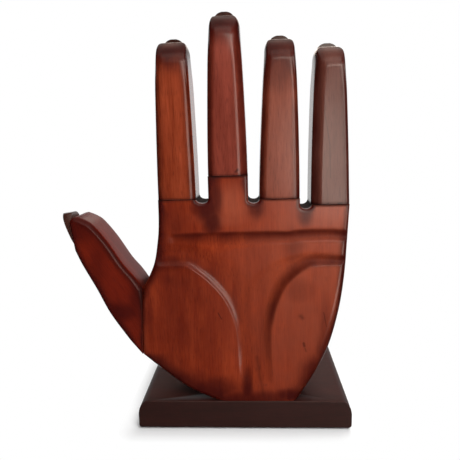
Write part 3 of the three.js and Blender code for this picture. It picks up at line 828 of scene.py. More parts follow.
thumb_edge, thumb_square = thumb_outline()
thumb, thumb_points = worked_board("carved_thumb", thumb_edge, thumb_square, THUMB_SANDED)
thumb_front = thumb_points[:, 1] < HAND_THICKNESS / 2
paint(
    thumb,
    dirt=seam_dirt(np.abs(thumb_points[:, 0] - SEAM_MIDDLE), THUMB_SEAM_DIRT, THUMB_SEAM_REACH),
    dull=np.full(len(thumb_points), THUMB_WORN),
    stain=np.where(thumb_front, blotches(thumb_points, THUMB_BLOTCHES), THUMB_BACK_STAIN),
    # stain and painted shade on the chamfers
    edge=edge_stain_and_shade(thumb_points, thumb_edge, THUMB_EDGE_REACH),
)

# %% [markdown]
# The base is a dressed board. Its ends and its back are moulded to a long round-over, and its front is
# left flat, flush with the palm. A plane breaks every arris a little, which shows as a thin pale line.
# The board is lofted through its outlines from the underside to the top.

# %% Base
BASE_ROUND_WIDTH = 7
BASE_ROUND_HEIGHT = 10.5
BASE_FOOT_RADIUS = 2
BASE_ARRIS = 0.6
BASE_BACK_CORNER = 2.0
BASE_STEPS = 10


def box_in_hand(node):
    """A node's lowest and highest corner in the hand's millimetres."""
    return [np.array(corner) / MM - HAND_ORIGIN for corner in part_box(node)]


def level_ring(left, right, front, back, level, radii):
    """A level rectangle with rounded corners."""
    ring = broken([[left, front], [right, front], [right, back], [left, back]], radii)
    return np.c_[ring, np.full(len(ring), level)]


def base_rings():
    low, high = box_in_hand("base")
    foot = np.linspace(0, math.pi / 2, BASE_STEPS + 1)
    shoulder = np.linspace(0, math.pi / 2, 2 * BASE_STEPS + 1)
    inset = np.r_[BASE_FOOT_RADIUS * (1 - np.sin(foot)), BASE_ROUND_WIDTH * (1 - np.cos(shoulder))]
    height = np.r_[
        low[2] + BASE_FOOT_RADIUS * (1 - np.cos(foot)), high[2] - BASE_ROUND_HEIGHT * (1 - np.sin(shoulder))
    ]
    near_end = np.clip(BASE_ARRIS - np.minimum(high[2] - height, height - low[2]), 0, None)
    front = low[1] + BASE_ARRIS - np.sqrt(BASE_ARRIS**2 - near_end**2)
    radii = [BASE_ARRIS, BASE_ARRIS, BASE_BACK_CORNER, BASE_BACK_CORNER]
    for aside, level, face in zip(inset, height, front):
        yield level_ring(low[0] + aside, high[0] - aside, face, high[1] - aside, level, radii)


base = make_piece("moulded_base", *skin(list(base_rings())))

# %% [markdown]
# A sheet of felt is cut a little smaller than the base and stuck under it, so that the stand doesn't
# scratch a shelf. It shows only as a dark line of shadow over the floor. Its edge is slightly soft from
# the knife.

# %% Felt
FELT_CORNER = 5.0
FELT_SOFT = 0.35
FELT_STEPS = 4


def felt_rings():
    low, high = box_in_hand("felt")
    turn = np.linspace(0, math.pi / 2, FELT_STEPS + 1)
    inset = FELT_SOFT * (1 - np.sin(turn))
    rise = FELT_SOFT * (1 - np.cos(turn))
    for aside, level in [*zip(inset, low[2] + rise), *zip(inset[::-1], high[2] - rise[::-1])]:
        sides = low[0] + aside, high[0] - aside, low[1] + aside, high[1] - aside
        yield level_ring(*sides, level, FELT_CORNER - aside)


felt = make_piece("felt_pad", *skin(list(felt_rings())))

# %% [markdown]
# Dowels cross every glue line, two to a finger and two to the thumb, and two screws come up through the
# base. Their holes are drilled into the pieces before glueing. Turned cutters, a little larger than what
# they take, are subtracted, as a drill would.

# %% Drilled holes
HOLE_CLEARANCE = 0.3
HOLE_SIDES = 24
HOLE_LEAD = 1
DOWEL_RADIUS = 3.0
DOWEL_LENGTH = 24.0
SCREW_HEAD = 4.2
SCREW_SHANK = 2.1
SCREW_HEAD_HEIGHT = 2.4
SCREW_LENGTH = 42.0
SCREW_SINK = 0.4
SEAM_RUN = np.array([CROTCH[0] - HEEL[0], 0, CROTCH[1] - HEEL[1]])
SEAM_ACROSS = np.array([SEAM_RUN[2], 0, -SEAM_RUN[0]]) / np.linalg.norm(SEAM_RUN)
UPRIGHT = np.array([0.0, 0.0, 1.0])
DOWELS = {
    node: SEAM_ACROSS if node.startswith("thumb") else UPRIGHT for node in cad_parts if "dowel" in node
}
SCREWS = [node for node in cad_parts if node.startswith("screw")]
screw_feet = [np.array([*(low + high)[:2] / 2, low[2]]) for low, high in map(box_in_hand, SCREWS)]


def turned(profile, place, along):
    """Points and faces of a cutter turned round an axis: radius and distance along it."""
    aside = np.cross(along, [0, 1, 0])
    turn = np.linspace(0, 2 * math.pi, HOLE_SIDES, endpoint=False)[:, None]
    circle = np.cos(turn) * aside + np.sin(turn) * np.cross(along, aside)
    return skin([place + along * far + radius * circle for radius, far in profile])


def bore(piece, cutters):
    """Subtracts turned cutters from a piece."""
    points = []
    faces = []
    for some_points, some_faces in cutters:
        faces += [[i + len(points) for i in face] for face in some_faces]
        points += some_points.tolist()
    drill = make_piece("drill", points, faces)
    cut = piece.modifiers.new("bore", "BOOLEAN")
    cut.object = drill
    cut.solver = "EXACT"
    work_in(piece)
    bpy.data.objects.remove(drill)


def work_in(piece):
    """Turns a piece's modifiers into its plain mesh."""
    graph = bpy.context.evaluated_depsgraph_get()
    made = bpy.data.meshes.new_from_object(piece.evaluated_get(graph))
    piece.modifiers.clear()
    piece.data = made
    made.name = piece.name
    print(piece.name, "worked into", len(made.vertices), "points")


def dowel_holes(*owners):
    reach = DOWEL_LENGTH / 2 + HOLE_CLEARANCE
    radius = DOWEL_RADIUS + HOLE_CLEARANCE
    return [
        turned([[radius, -reach], [radius, reach]], np.mean(box_in_hand(node), axis=0), along)
        for node, along in DOWELS.items() if node.startswith(owners)
    ]


def screw_holes():
    head, shank = SCREW_HEAD + HOLE_CLEARANCE, SCREW_SHANK + HOLE_CLEARANCE
    neck, end = SCREW_SINK + SCREW_HEAD_HEIGHT, SCREW_SINK + SCREW_LENGTH + HOLE_CLEARANCE
    profile = [[head, -HOLE_LEAD], [head, SCREW_SINK], [shank, neck], [shank, end]]
    return [turned(profile, foot - SCREW_SINK * UPRIGHT, UPRIGHT) for foot in screw_feet]


bore(palm, dowel_holes(*FINGERS, "thumb") + screw_holes())
bore(thumb, dowel_holes("thumb"))
bore(base, screw_holes())
for name, piece in fingers.items():
    bore(piece, dowel_holes(name))

# %% [markdown]
# What repeats is grown by node trees with named inputs. Five nails share one tree: a block whose points
# are moved into a plate that is flat on its bed, bowed across, square with rounded corners, and thicker
# at its free end.

# %% Node helpers
def add_node(tree, kind, values=None, **settings):
    """A node with its settings, and each input linked to a socket or set to a value."""
    node = tree.nodes.new(kind)
    for key, value in settings.items():
        setattr(node, key, value)
    for key, value in (values or {}).items():
        if isinstance(value, bpy.types.NodeSocket):
            tree.links.new(value, node.inputs[key])
        else:
            node.inputs[key].default_value = value
    return node


def calc(tree, operation, *values):
    return add_node(tree, "ShaderNodeMath", dict(enumerate(values)), operation=operation).outputs[0]


def vectors(tree, operation, *values, result="Vector"):
    node = add_node(tree, "ShaderNodeVectorMath", dict(enumerate(values)), operation=operation)
    return node.outputs[result]


def rescale(tree, value, start, stop, low, high):
    """The value's way from start to stop, clamped, as a number from low to high."""
    values = {0: value, 1: start, 2: stop, 3: low, 4: high}
    return add_node(tree, "ShaderNodeMapRange", values).outputs[0]


def new_group(name, kind, inputs, outputs):
    """A node group, and what its inputs give. Each input is a kind of socket with a value, or none."""
    tree = bpy.data.node_groups.new(name, kind)
    for label, (socket, value) in inputs.items():
        made = tree.interface.new_socket(label, in_out="INPUT", socket_type=f"NodeSocket{socket}")
        if value is not None:
            made.default_value = value
    for label, socket in outputs.items():
        tree.interface.new_socket(label, in_out="OUTPUT", socket_type=f"NodeSocket{socket}")
    return tree, tree.nodes.new("NodeGroupInput").outputs


def growing_tree(name, **sizes):
    """A geometry tree that takes geometry, sizes and a finish."""
    inputs = {"Geometry": ("Geometry", None)}
    inputs.update({label: ("Float", value) for label, value in sizes.items()})
    inputs["Finish"] = ("Material", None)
    return new_group(name, "GeometryNodeTree", inputs, {"Geometry": "Geometry"})


def position(tree):
    where = add_node(tree, "GeometryNodeInputPosition").outputs[0]
    return add_node(tree, "ShaderNodeSeparateXYZ", {0: where}).outputs


def moved_to(tree, geometry, x, y, z):
    place = add_node(tree, "ShaderNodeCombineXYZ", {0: x, 1: y, 2: z}).outputs[0]
    return add_node(tree, "GeometryNodeSetPosition", {"Geometry": geometry, "Position": place}).outputs[0]


def tree_end(tree, geometry, finish):
    """Ends a tree in plain, smooth, finished geometry."""
    real = add_node(tree, "GeometryNodeRealizeInstances", {0: geometry}).outputs[0]
    smooth = add_node(tree, "GeometryNodeSetShadeSmooth", {"Geometry": real}).outputs[0]
    done = add_node(tree, "GeometryNodeSetMaterial", {"Geometry": smooth, "Material": finish}).outputs[0]
    add_node(tree, "NodeGroupOutput", {0: done})


def grow(piece, tree, **inputs):
    """Gives a piece a tree as its modifier, with the inputs set by name."""
    sockets = {item.name: item.identifier for item in tree.interface.items_tree if item.in_out == "INPUT"}
    modifier = piece.modifiers.new(tree.name, "NODES")
    modifier.node_group = tree
    for name, value in inputs.items():
        modifier[sockets[name]] = value


# %% The nail's tree
FINGER_NAIL = {"Width": 0.0146, "Length": 0.02, "Root": 0.0009, "Tip": 0.0025}
THUMB_NAIL = {"Width": 0.019, "Length": 0.023, "Root": 0.001, "Tip": 0.0072}
NAIL_BLOCK = {"Size": (2, 1, 1), "Vertices X": 21, "Vertices Y": 3, "Vertices Z": 31}
NAIL_EDGE_SHARE = 0.7
NAIL_SQUARENESS = 2.6
NAIL_END_SHARE = 0.25


def nail_tree():
    tree, given = growing_tree("nail_plate", **FINGER_NAIL)
    block = add_node(tree, "GeometryNodeMeshCube", NAIL_BLOCK).outputs[0]
    x, y, z = position(tree)
    wave = calc(tree, "SINE", calc(tree, "MULTIPLY", z, math.pi))
    share = calc(tree, "MULTIPLY_ADD", wave, 0.5, 0.5)
    off = calc(tree, "POWER", calc(tree, "ABSOLUTE", wave), NAIL_SQUARENESS)
    bow = calc(tree, "POWER", calc(tree, "SUBTRACT", 1, off), 1 / NAIL_SQUARENESS)
    widest = calc(tree, "MULTIPLY", given["Width"], 0.5)
    half = calc(tree, "MULTIPLY", widest, calc(tree, "MAXIMUM", bow, NAIL_END_SHARE))
    more = calc(tree, "SUBTRACT", given["Tip"], given["Root"])
    thick = calc(tree, "MULTIPLY_ADD", more, share, given["Root"])
    arch = calc(tree, "SQRT", calc(tree, "SUBTRACT", 1, calc(tree, "MULTIPLY", x, x)))
    rise = calc(tree, "MULTIPLY_ADD", arch, 1 - NAIL_EDGE_SHARE, NAIL_EDGE_SHARE)
    top = calc(tree, "MULTIPLY", calc(tree, "MULTIPLY", thick, rise), calc(tree, "ADD", y, 0.5))
    across = calc(tree, "MULTIPLY", x, half)
    along = calc(tree, "MULTIPLY", given["Length"], share)
    tree_end(tree, moved_to(tree, block, across, top, along), given["Finish"])
    return tree


nail_plate = nail_tree()
print("nail tree:", len(nail_plate.nodes), "nodes")

# %% [markdown]
# The wood is stained red-brown and brushed with a satin lacquer. Its grain runs up the palm and the
# fingers, along the thumb and along the base. One shader group makes the grain for all of them: streaks,
# pores and a slow mottle, from the piece's own coordinates turned to its grain.

# %% Wood grain shared by every wooden piece
# Patches to a metre across the grain and along it, and how finely they are broken up
FINE_STREAKS = (1300, 70, 3.0)
BROAD_STREAKS = (160, 14, 3.0)
PORES = (2200, 150, 1.0)
MOTTLE = (110, 60, 4.0)
RIPPLE = (160, 70, 2.0)
# From where to where each noise counts
STREAKS_COUNT = (0.55, 1.15)
PORES_COUNT = (0.57, 0.7)
MOTTLE_COUNTS = (0.3, 0.7)
FINE_SHARE = 0.7
PORE_DIP = -0.12
GRAIN_BUMP = {"Strength": 0.35, "Distance": 0.0002}


def tone(*screen):
    """A screen's colour, from 0 to 255, in the renderer's numbers by the sRGB curve."""
    return (*(((c / 255 + 0.055) / 1.055) ** 2.4 for c in screen), 1)


def group_node(tree, group, **values):
    return add_node(tree, "ShaderNodeGroup", values, node_tree=group).outputs


def own_place(tree):
    """A point's place in its piece's own coordinates."""
    return add_node(tree, "ShaderNodeTexCoord").outputs["Object"]


def blend(tree, share, first, second):
    values = {0: share, 6: first, 7: second}
    return add_node(tree, "ShaderNodeMix", values, data_type="RGBA").outputs[2]


def stretched_noise(tree, where, across, along, detail):
    """Noise with so many patches to a metre across the grain and along it."""
    scaled = vectors(tree, "MULTIPLY", where, (across, across, along))
    return add_node(tree, "ShaderNodeTexNoise", {"Vector": scaled, "Scale": 1, "Detail": detail}).outputs[0]


def grain_group():
    tree, given = new_group(
        "wood_grain", "ShaderNodeTree",
        {"Turn": ("Float", 0.0), "Offset": ("Vector", (0, 0, 0))},
        {"Streaks": "Float", "Pores": "Float", "Mottle": "Float", "Normal": "Vector"},
    )
    way = {"Vector": own_place(tree), "Angle": given["Turn"]}
    turned_own = add_node(tree, "ShaderNodeVectorRotate", way, rotation_type="Y_AXIS").outputs[0]
    where = vectors(tree, "ADD", turned_own, given["Offset"])
    fine = stretched_noise(tree, where, *FINE_STREAKS)
    broad = stretched_noise(tree, where, *BROAD_STREAKS)
    streaks = rescale(tree, calc(tree, "MULTIPLY_ADD", fine, FINE_SHARE, broad), *STREAKS_COUNT, 0, 1)
    pores = rescale(tree, stretched_noise(tree, where, *PORES), *PORES_COUNT, 0, 1)
    mottle = rescale(tree, stretched_noise(tree, where, *MOTTLE), *MOTTLE_COUNTS, 0, 1)
    ripple = stretched_noise(tree, where, *RIPPLE)
    height = calc(tree, "MULTIPLY_ADD", pores, PORE_DIP, ripple)
    normal = add_node(tree, "ShaderNodeBump", {**GRAIN_BUMP, "Height": height}).outputs[0]
    result = {"Streaks": streaks, "Pores": pores, "Mottle": mottle, "Normal": normal}
    add_node(tree, "NodeGroupOutput", result)
    return tree


wood_grain = grain_group()

# %% [markdown]
# Handling and polishing leave a patina: stain soaked deep in places, dirt in grooves and joints, and
# darker edges. Painted light goes on with it: shade on the chamfers, in the slots and lines and along
# the foot, and sheen as pale patches. The second shared group reads the masks on the points, roughens
# their borders with the mottle, and lays the tones over the wood. Dirty places are duller, and so is
# lacquer that hands have rubbed.

# %% Patina
DIRT_TONE = tone(26, 9, 7)
# Each layer's mask, greatest strength and tone, from the first laid to the last
LAYERS = {
    # The first layer paints sheen as pale patches; the others lay stain and dirt, and also painted shade
    "pale": (0.9, tone(162, 84, 58)),
    "edge": (0.8, tone(50, 7, 3)),
    "stain": (0.9, tone(57, 8, 4)),
    "dirt": (0.95, DIRT_TONE),
}
RAGGED = (0.6, 0.7)
CLEAN_ROUGHNESS = 0.4
DIRTY_ROUGHNESS = 0.7
BARE_OF_LACQUER = 0.8
DULL_LACQUER = 0.1


def patina_group():
    tree, given = new_group(
        "patina", "ShaderNodeTree",
        {"Colour": ("Color", (0.3, 0.1, 0.05, 1)), "Mottle": ("Float", 0.5)},
        {"Colour": "Color", "Roughness": "Float", "Lacquer": "Float"},
    )
    raggedness = calc(tree, "MULTIPLY_ADD", given["Mottle"], *RAGGED)

    def mask(name):
        return add_node(tree, "ShaderNodeAttribute", attribute_name=name).outputs["Fac"]

    colour = given["Colour"]
    shares = {}
    for name, (strength, layer) in LAYERS.items():
        ragged = calc(tree, "MULTIPLY", mask(name), raggedness)
        bare = rescale(tree, ragged, 0, 1, 1, 1 - strength)
        shares[name] = calc(tree, "SUBTRACT", 1, calc(tree, "MULTIPLY", bare, bare))
        colour = blend(tree, shares[name], colour, layer)
    clean = rescale(tree, shares["dirt"], 0, BARE_OF_LACQUER, 1, 0)
    unrubbed = rescale(tree, mask("dull"), 0, 1, 1, DULL_LACQUER)
    result = {
        "Colour": colour,
        "Roughness": rescale(tree, shares["dirt"], 0, 1, CLEAN_ROUGHNESS, DIRTY_ROUGHNESS),
        "Lacquer": calc(tree, "MULTIPLY", clean, unrubbed),
    }
    add_node(tree, "NodeGroupOutput", result)
    return tree


patina = patina_group()

# %% [markdown]
# Small marks tell of the wood and of use: two pin knots, a crack and a scratch in the palm, a hairline
# and a notch in the little finger, specks along a joint. One group measures how far a point lies from a
# stroke, so that a mark stays sharp whatever the mesh. Depth hardly counts, which keeps marks off the
# hand's back.

# %% Marks
DEPTH_COUNTS = np.array([1, 0.05, 1])


def mark_group():
    tree, given = new_group(
        "mark", "ShaderNodeTree",
        {"Start": ("Vector", (0, 0, 0)), "End": ("Vector", (0, 0, 0.001)), "Width": ("Float", 0.0005)},
        {"Mark": "Float"},
    )
    place = vectors(tree, "MULTIPLY", own_place(tree), DEPTH_COUNTS)
    offset = vectors(tree, "SUBTRACT", place, given["Start"])
    run = vectors(tree, "SUBTRACT", given["End"], given["Start"])
    along = vectors(tree, "DOT_PRODUCT", offset, run, result="Value")
    share = calc(tree, "DIVIDE", along, vectors(tree, "DOT_PRODUCT", run, run, result="Value"))
    share = add_node(tree, "ShaderNodeClamp", {0: share}).outputs[0]
    near = add_node(tree, "ShaderNodeVectorMath", {0: run, "Scale": share}, operation="SCALE").outputs[0]
    apart = vectors(tree, "DISTANCE", offset, near, result="Value")
    add_node(tree, "NodeGroupOutput", {0: rescale(tree, apart, 0, given["Width"], 1, 0)})
    return tree


mark = mark_group()

# %% Stained and lacquered wood
PORE_TONE = tone(58, 14, 8)
PORE_SHARE = 0.4
MOTTLE_SHARE = 0.5
LACQUER = {"Coat_Roughness": 0.21, "Coat_IOR": 1.26, "Specular_IOR_Level": 0.03}


def finish(name, **settings):
    """A material with its shader's own sockets set, its node tree, and its shader."""
    material = bpy.data.materials.new(name)
    material.use_nodes = True
    shader = material.node_tree.nodes["Principled BSDF"]
    for key, value in settings.items():
        shader.inputs[key.replace("_", " ")].default_value = value
    return material, material.node_tree, shader


def feed(shader, **sockets):
    """Links sockets to a shader's inputs by name."""
    for key, socket in sockets.items():
        shader.id_data.links.new(socket, shader.inputs[key.replace("_", " ")])


def stained(name, dark, light, turn, offset, marks=(), **settings):
    """Stained wood with marks as start, end, width and strength: its material, shader and patina."""
    material, tree, shader = finish(name, **settings)
    grain = group_node(tree, wood_grain, Turn=turn, Offset=offset)
    wood = blend(tree, grain["Streaks"], tone(*dark), tone(*light))
    wood = blend(tree, calc(tree, "MULTIPLY", grain["Mottle"], MOTTLE_SHARE), wood, tone(*dark))
    wood = blend(tree, calc(tree, "MULTIPLY", grain["Pores"], PORE_SHARE), wood, PORE_TONE)
    aged = group_node(tree, patina, Colour=wood, Mottle=grain["Mottle"])
    colour = aged["Colour"]
    for *ends, width, strength in marks:
        start, end = (in_frame((x, 0, height)) * DEPTH_COUNTS for x, height in ends)
        drawn = group_node(tree, mark, Start=start, End=end, Width=width * MM)[0]
        colour = blend(tree, calc(tree, "MULTIPLY", drawn, strength), colour, DIRT_TONE)
    feed(shader, Base_Color=colour, Normal=grain["Normal"])
    return material, shader, aged


def lacquered(*wood):
    """Stained wood under a thin satin lacquer."""
    material, shader, aged = stained(*wood, **LACQUER)
    feed(shader, Roughness=aged["Roughness"], Coat_Weight=aged["Lacquer"])
    return material


# %% Wood of the hand, the base and the nails
THUMB_GRAIN = math.radians(30)
ALONG_BASE = math.radians(90)
PALM_MARKS = [
    [(36.6, 58.2), (37.6, 57.0), 2.2, 0.5], [(38.6, 40), (39, 38.2), 1.3, 0.65],
    [(39.4, 36.6), (40.1, 34.6), 0.9, 0.35], [(-15.1, 60.6), (-13, 56.6), 0.5, 0.7],
    [(50.9, 60.4), (52.7, 51.1), 0.5, 0.5], [(9.0, 30), (12.6, 5), 2.2, 0.35],
]
MIDDLE_MARKS = [[(-2, 148.8), (-0.8, 150), 1.2, 0.7]]
LITTLE_MARKS = [
    [(49.8, 183), (53.3, 163), 0.35, 0.5], [(53.3, 163), (53.9, 144), 0.35, 0.4],
    [(63, 170), (64.8, 170.1), 0.7, 0.7], [(58.6, 128.6), (60.6, 128.9), 0.8, 0.8],
    [(52.3, 128.7), (52.9, 129), 0.6, 0.7],
]
# Dark and light tone, the grain's turn, where its noise starts, and marks
# The little finger's greyish tones, and the ring finger's paler ones, are partly painted sheen: the
# lacquer's reflection on their faces
HAND_WOOD = {
    "palm": [(102, 26, 5), (142, 52, 21), 0.0, (0.11, 0, 0), PALM_MARKS],
    "index": [(100, 31, 9), (150, 64, 34), 0.0, (0.23, 0.1, 0.3)],
    "middle": [(98, 35, 22), (132, 56, 40), 0.0, (0.41, 0.2, 0.7), MIDDLE_MARKS],
    "ring": [(104, 44, 26), (136, 66, 46), 0.0, (0.67, 0.3, 0.2)],
    "little": [(80, 40, 31), (100, 56, 46), 0.0, (0.83, 0.4, 0.5), LITTLE_MARKS],
    "thumb": [(84, 17, 5), (110, 29, 10), THUMB_GRAIN, (0.53, 0.6, 0.1)],
}
BASE_WOOD = [(36, 10, 6), (50, 17, 12), ALONG_BASE, (0.37, 0.5, 0.9)]
NAIL_WOOD = [(52, 28, 22), (76, 44, 36), 0.0, (0.71, 0.7, 0.4)]
hand_finishes = {name: lacquered(f"{name}_mahogany", *wood) for name, wood in HAND_WOOD.items()}
base_finish, _, _ = stained("base_stain", *BASE_WOOD, Roughness=0.56, Specular_IOR_Level=0.2)
nail_finish = lacquered("nail_stain", *NAIL_WOOD)
print("wood finishes for", [*hand_finishes, "base", "nails"])

# %% Beech, steel and felt
SCUFFS = (1500, 1500, 3.0)
SCUFFS_COUNT = (0.3, 0.7)
SCUFF_ROUGHNESS = (0.25, 0.45)
FLUFF = (1800, 1800, 3.0)
FELT_BUMP = {"Strength": 0.8, "Distance": 0.0003}

dowel_finish, tree, shader = finish("beech_dowel", Roughness=0.6)
grain = group_node(tree, wood_grain, Offset=(0.2, 0.9, 0))
feed(shader, Base_Color=blend(tree, grain["Streaks"], tone(190, 150, 108), tone(214, 180, 138)))

screw_finish, tree, shader = finish("bright_steel", Metallic=1.0)
scuffs = stretched_noise(tree, own_place(tree), *SCUFFS)
steel = blend(tree, scuffs, tone(150, 148, 142), tone(196, 194, 190))
feed(shader, Base_Color=steel, Roughness=rescale(tree, scuffs, *SCUFFS_COUNT, *SCUFF_ROUGHNESS))

felt_finish, tree, shader = finish("felt_cloth", Roughness=1.0, Sheen_Weight=0.4, Sheen_Roughness=0.6)
fluff = stretched_noise(tree, own_place(tree), *FLUFF)
nap = add_node(tree, "ShaderNodeBump", {**FELT_BUMP, "Height": fluff}).outputs[0]
feed(shader, Base_Color=blend(tree, fluff, tone(34, 22, 18), tone(62, 44, 36)), Normal=nap)


# %% Finishes laid on the pieces
def cover_with(piece, material):
    piece.data.materials.clear()
    piece.data.materials.append(material)


cover_with(palm, hand_finishes["palm"])
cover_with(thumb, hand_finishes["thumb"])
cover_with(base, base_finish)
cover_with(felt, felt_finish)
for name, piece in fingers.items():
    cover_with(piece, hand_finishes[name])
print("finishes:", [material.name for material in bpy.data.materials if material.users])

# %% [markdown]
# The nails are dark plates glued on flat beds: behind each fingertip, leaning with its bed, and on the
# outer side of the thumb, where the plate is much thicker at its free end. Each plate is grown, its edges
# are eased by a small bevel, and then it is laid in place.

# %% Nails
NAIL_OVERHANG = 3.9
NAIL_BEVEL = 0.0004
NAIL_BEVEL_STEPS = 3


def nail_piece(name, sizes, place):
    piece = show(name, bpy.data.meshes.new(name))
    grow(piece, nail_plate, Finish=nail_finish, **sizes)
    bevel = piece.modifiers.new("eased", "BEVEL")
    bevel.width = NAIL_BEVEL
    bevel.segments = NAIL_BEVEL_STEPS
    bevel.limit_method = "ANGLE"
    bevel.angle_limit = SHARP_ANGLE
    work_in(piece)
    piece.data.transform(place)
    return piece


def finger_nail_place(finger):
    slope = math.atan2(NAIL_BED_DEPTH, NAIL_BED_LENGTH)
    root_below_tip = FINGER_NAIL["Length"] / MM - NAIL_OVERHANG - finger["trim"]
    bed_up = 1 - root_below_tip / NAIL_BED_LENGTH
    depth = HAND_THICKNESS - NAIL_BED_DEPTH * bed_up + GLUE_LINE / math.cos(slope)
    aside = finger["x"] + finger["lean"] + finger["nail"]
    root = [aside, depth, finger["seam"] + finger["length"] - root_below_tip]
    return Matrix.Translation(in_frame(root)) @ Matrix.Rotation(slope, 4, "X")


def thumb_nail_place():
    foot, top = (Vector((p[0], HAND_THICKNESS / 2, p[1])) for p in (THUMB_BED_FOOT, THUMB_BED_TOP))
    along = (top - foot).normalized()
    across = Vector((0, 1, 0))
    out = along.cross(across)
    turn = Matrix((across, out, along)).transposed().to_4x4()
    return Matrix.Translation(in_frame(foot + out * GLUE_LINE)) @ turn


nails = {
    name: nail_piece(f"{name}_nail_plate", FINGER_NAIL, finger_nail_place(finger))
    for name, finger in FINGERS.items()
}
nails["thumb"] = nail_piece("thumb_nail_plate", THUMB_NAIL, thumb_nail_place())

# %% [markdown]
# Bought dowels have flutes that let glue and air out, and chamfered ends. One fluted dowel is made from a
# cylinder and stood on ten points, each with the turn of its hole.

# %% Dowels
DOWEL_CHAMFER = 0.8
DOWEL_SIZES = {"Radius": DOWEL_RADIUS * MM, "Length": DOWEL_LENGTH * MM, "Chamfer": DOWEL_CHAMFER * MM}
DOWEL_ROD = {"Vertices": 72, "Side Segments": 30}
FLUTES = 12
FLUTE_SHARE = 0.08


def dowel_tree():
    tree, given = growing_tree("fluted_dowel", **DOWEL_SIZES)
    shape = {**DOWEL_ROD, "Radius": given["Radius"], "Depth": given["Length"]}
    rod = add_node(tree, "GeometryNodeMeshCylinder", shape).outputs[0]
    x, y, z = position(tree)
    wave = calc(tree, "COSINE", calc(tree, "MULTIPLY", calc(tree, "ARCTAN2", y, x), FLUTES))
    flute = calc(tree, "MULTIPLY", calc(tree, "MAXIMUM", wave, 0), FLUTE_SHARE)
    end = calc(tree, "MULTIPLY", given["Length"], 0.5)
    past = calc(tree, "SUBTRACT", calc(tree, "ABSOLUTE", z), calc(tree, "SUBTRACT", end, given["Chamfer"]))
    taper = calc(tree, "DIVIDE", calc(tree, "MAXIMUM", past, 0), given["Radius"])
    size = calc(tree, "SUBTRACT", calc(tree, "SUBTRACT", 1, flute), taper)
    fluted = moved_to(tree, rod, calc(tree, "MULTIPLY", x, size), calc(tree, "MULTIPLY", y, size), z)
    turn = add_node(
        tree, "GeometryNodeInputNamedAttribute", {"Name": "turn"}, data_type="FLOAT_VECTOR"
    ).outputs["Attribute"]
    way = add_node(tree, "FunctionNodeEulerToRotation", {0: turn}).outputs[0]
    stood = {"Points": given["Geometry"], "Instance": fluted, "Rotation": way}
    tree_end(tree, add_node(tree, "GeometryNodeInstanceOnPoints", stood).outputs[0], given["Finish"])
    return tree


def stood_on_points(name, places, turns, tree, material, **inputs):
    piece = make_piece(name, places, [])
    attribute = piece.data.attributes.new("turn", "FLOAT_VECTOR", "POINT")
    attribute.data.foreach_set("vector", np.ravel(turns).astype(np.float32))
    grow(piece, tree, Finish=material, **inputs)
    work_in(piece)
    piece.data.set_sharp_from_angle(angle=SHARP_ANGLE)
    return piece


dowels = stood_on_points(
    "fluted_dowels",
    [np.mean(box_in_hand(node), axis=0) for node in DOWELS],
    [[0, math.atan2(along[0], along[2]), 0] for along in DOWELS.values()],
    dowel_tree(), dowel_finish, **DOWEL_SIZES,
)

# %% [markdown]
# Two slotted countersunk screws hold the palm on the base. A cylinder of many rings is drawn in to the
# head's cone, the shank and the point, and a ridge that climbs with the angle makes the thread. The slot
# is cut with a block, as a saw does it.

# %% Screws
SCREW_SIZES = {
    "Length": SCREW_LENGTH * MM, "Head": SCREW_HEAD * MM,
    "Shank": SCREW_SHANK * MM, "HeadHeight": SCREW_HEAD_HEIGHT * MM,
}
SCREW_ROD = {"Vertices": 48, "Side Segments": 240, "Radius": 1}
SCREW_THREAD_START = 0.014
SCREW_PITCH = 0.0021
SCREW_RIDGE_SHARE = 0.55
SCREW_CORE_SHARE = 0.72
SCREW_POINT = 0.005
SCREW_POINT_SHARE = 0.08
SCREW_SLOT = (0.0012, 0.012, 0.0024)


def screw_tree():
    tree, given = growing_tree("wood_screw", **SCREW_SIZES)
    shape = {**SCREW_ROD, "Depth": given["Length"]}
    rod = add_node(tree, "GeometryNodeMeshCylinder", shape).outputs[0]
    x, y, z = position(tree)
    height = calc(tree, "MULTIPLY_ADD", given["Length"], 0.5, z)
    cone = rescale(tree, height, 0, given["HeadHeight"], given["Head"], given["Shank"])
    turn = calc(tree, "DIVIDE", calc(tree, "ARCTAN2", y, x), 2 * math.pi)
    climb = calc(tree, "FRACT", calc(tree, "SUBTRACT", calc(tree, "DIVIDE", height, SCREW_PITCH), turn))
    off_ridge = calc(tree, "ABSOLUTE", calc(tree, "MULTIPLY_ADD", climb, 2, -1))
    ridge = rescale(tree, off_ridge, 0, SCREW_RIDGE_SHARE, 1, SCREW_CORE_SHARE)
    threaded = rescale(tree, height, SCREW_THREAD_START, SCREW_THREAD_START + SCREW_PITCH, 0, 1)
    thread = calc(tree, "MULTIPLY_ADD", calc(tree, "SUBTRACT", ridge, 1), threaded, 1)
    left = calc(tree, "SUBTRACT", given["Length"], height)
    point = rescale(tree, left, 0, SCREW_POINT, SCREW_POINT_SHARE, 1)
    radius = calc(tree, "MULTIPLY", calc(tree, "MULTIPLY", cone, thread), point)
    body = moved_to(tree, rod, calc(tree, "MULTIPLY", x, radius), calc(tree, "MULTIPLY", y, radius), height)
    saw = add_node(tree, "GeometryNodeMeshCube", {"Size": SCREW_SLOT}).outputs[0]
    cut = {"Mesh 1": body, "Mesh 2": saw}
    slotted = add_node(tree, "GeometryNodeMeshBoolean", cut, operation="DIFFERENCE").outputs[0]
    stood = {"Points": given["Geometry"], "Instance": slotted}
    tree_end(tree, add_node(tree, "GeometryNodeInstanceOnPoints", stood).outputs[0], given["Finish"])
    return tree


screws = stood_on_points(
    "wood_screws", screw_feet, np.zeros((len(SCREWS), 3)), screw_tree(), screw_finish, **SCREW_SIZES
)

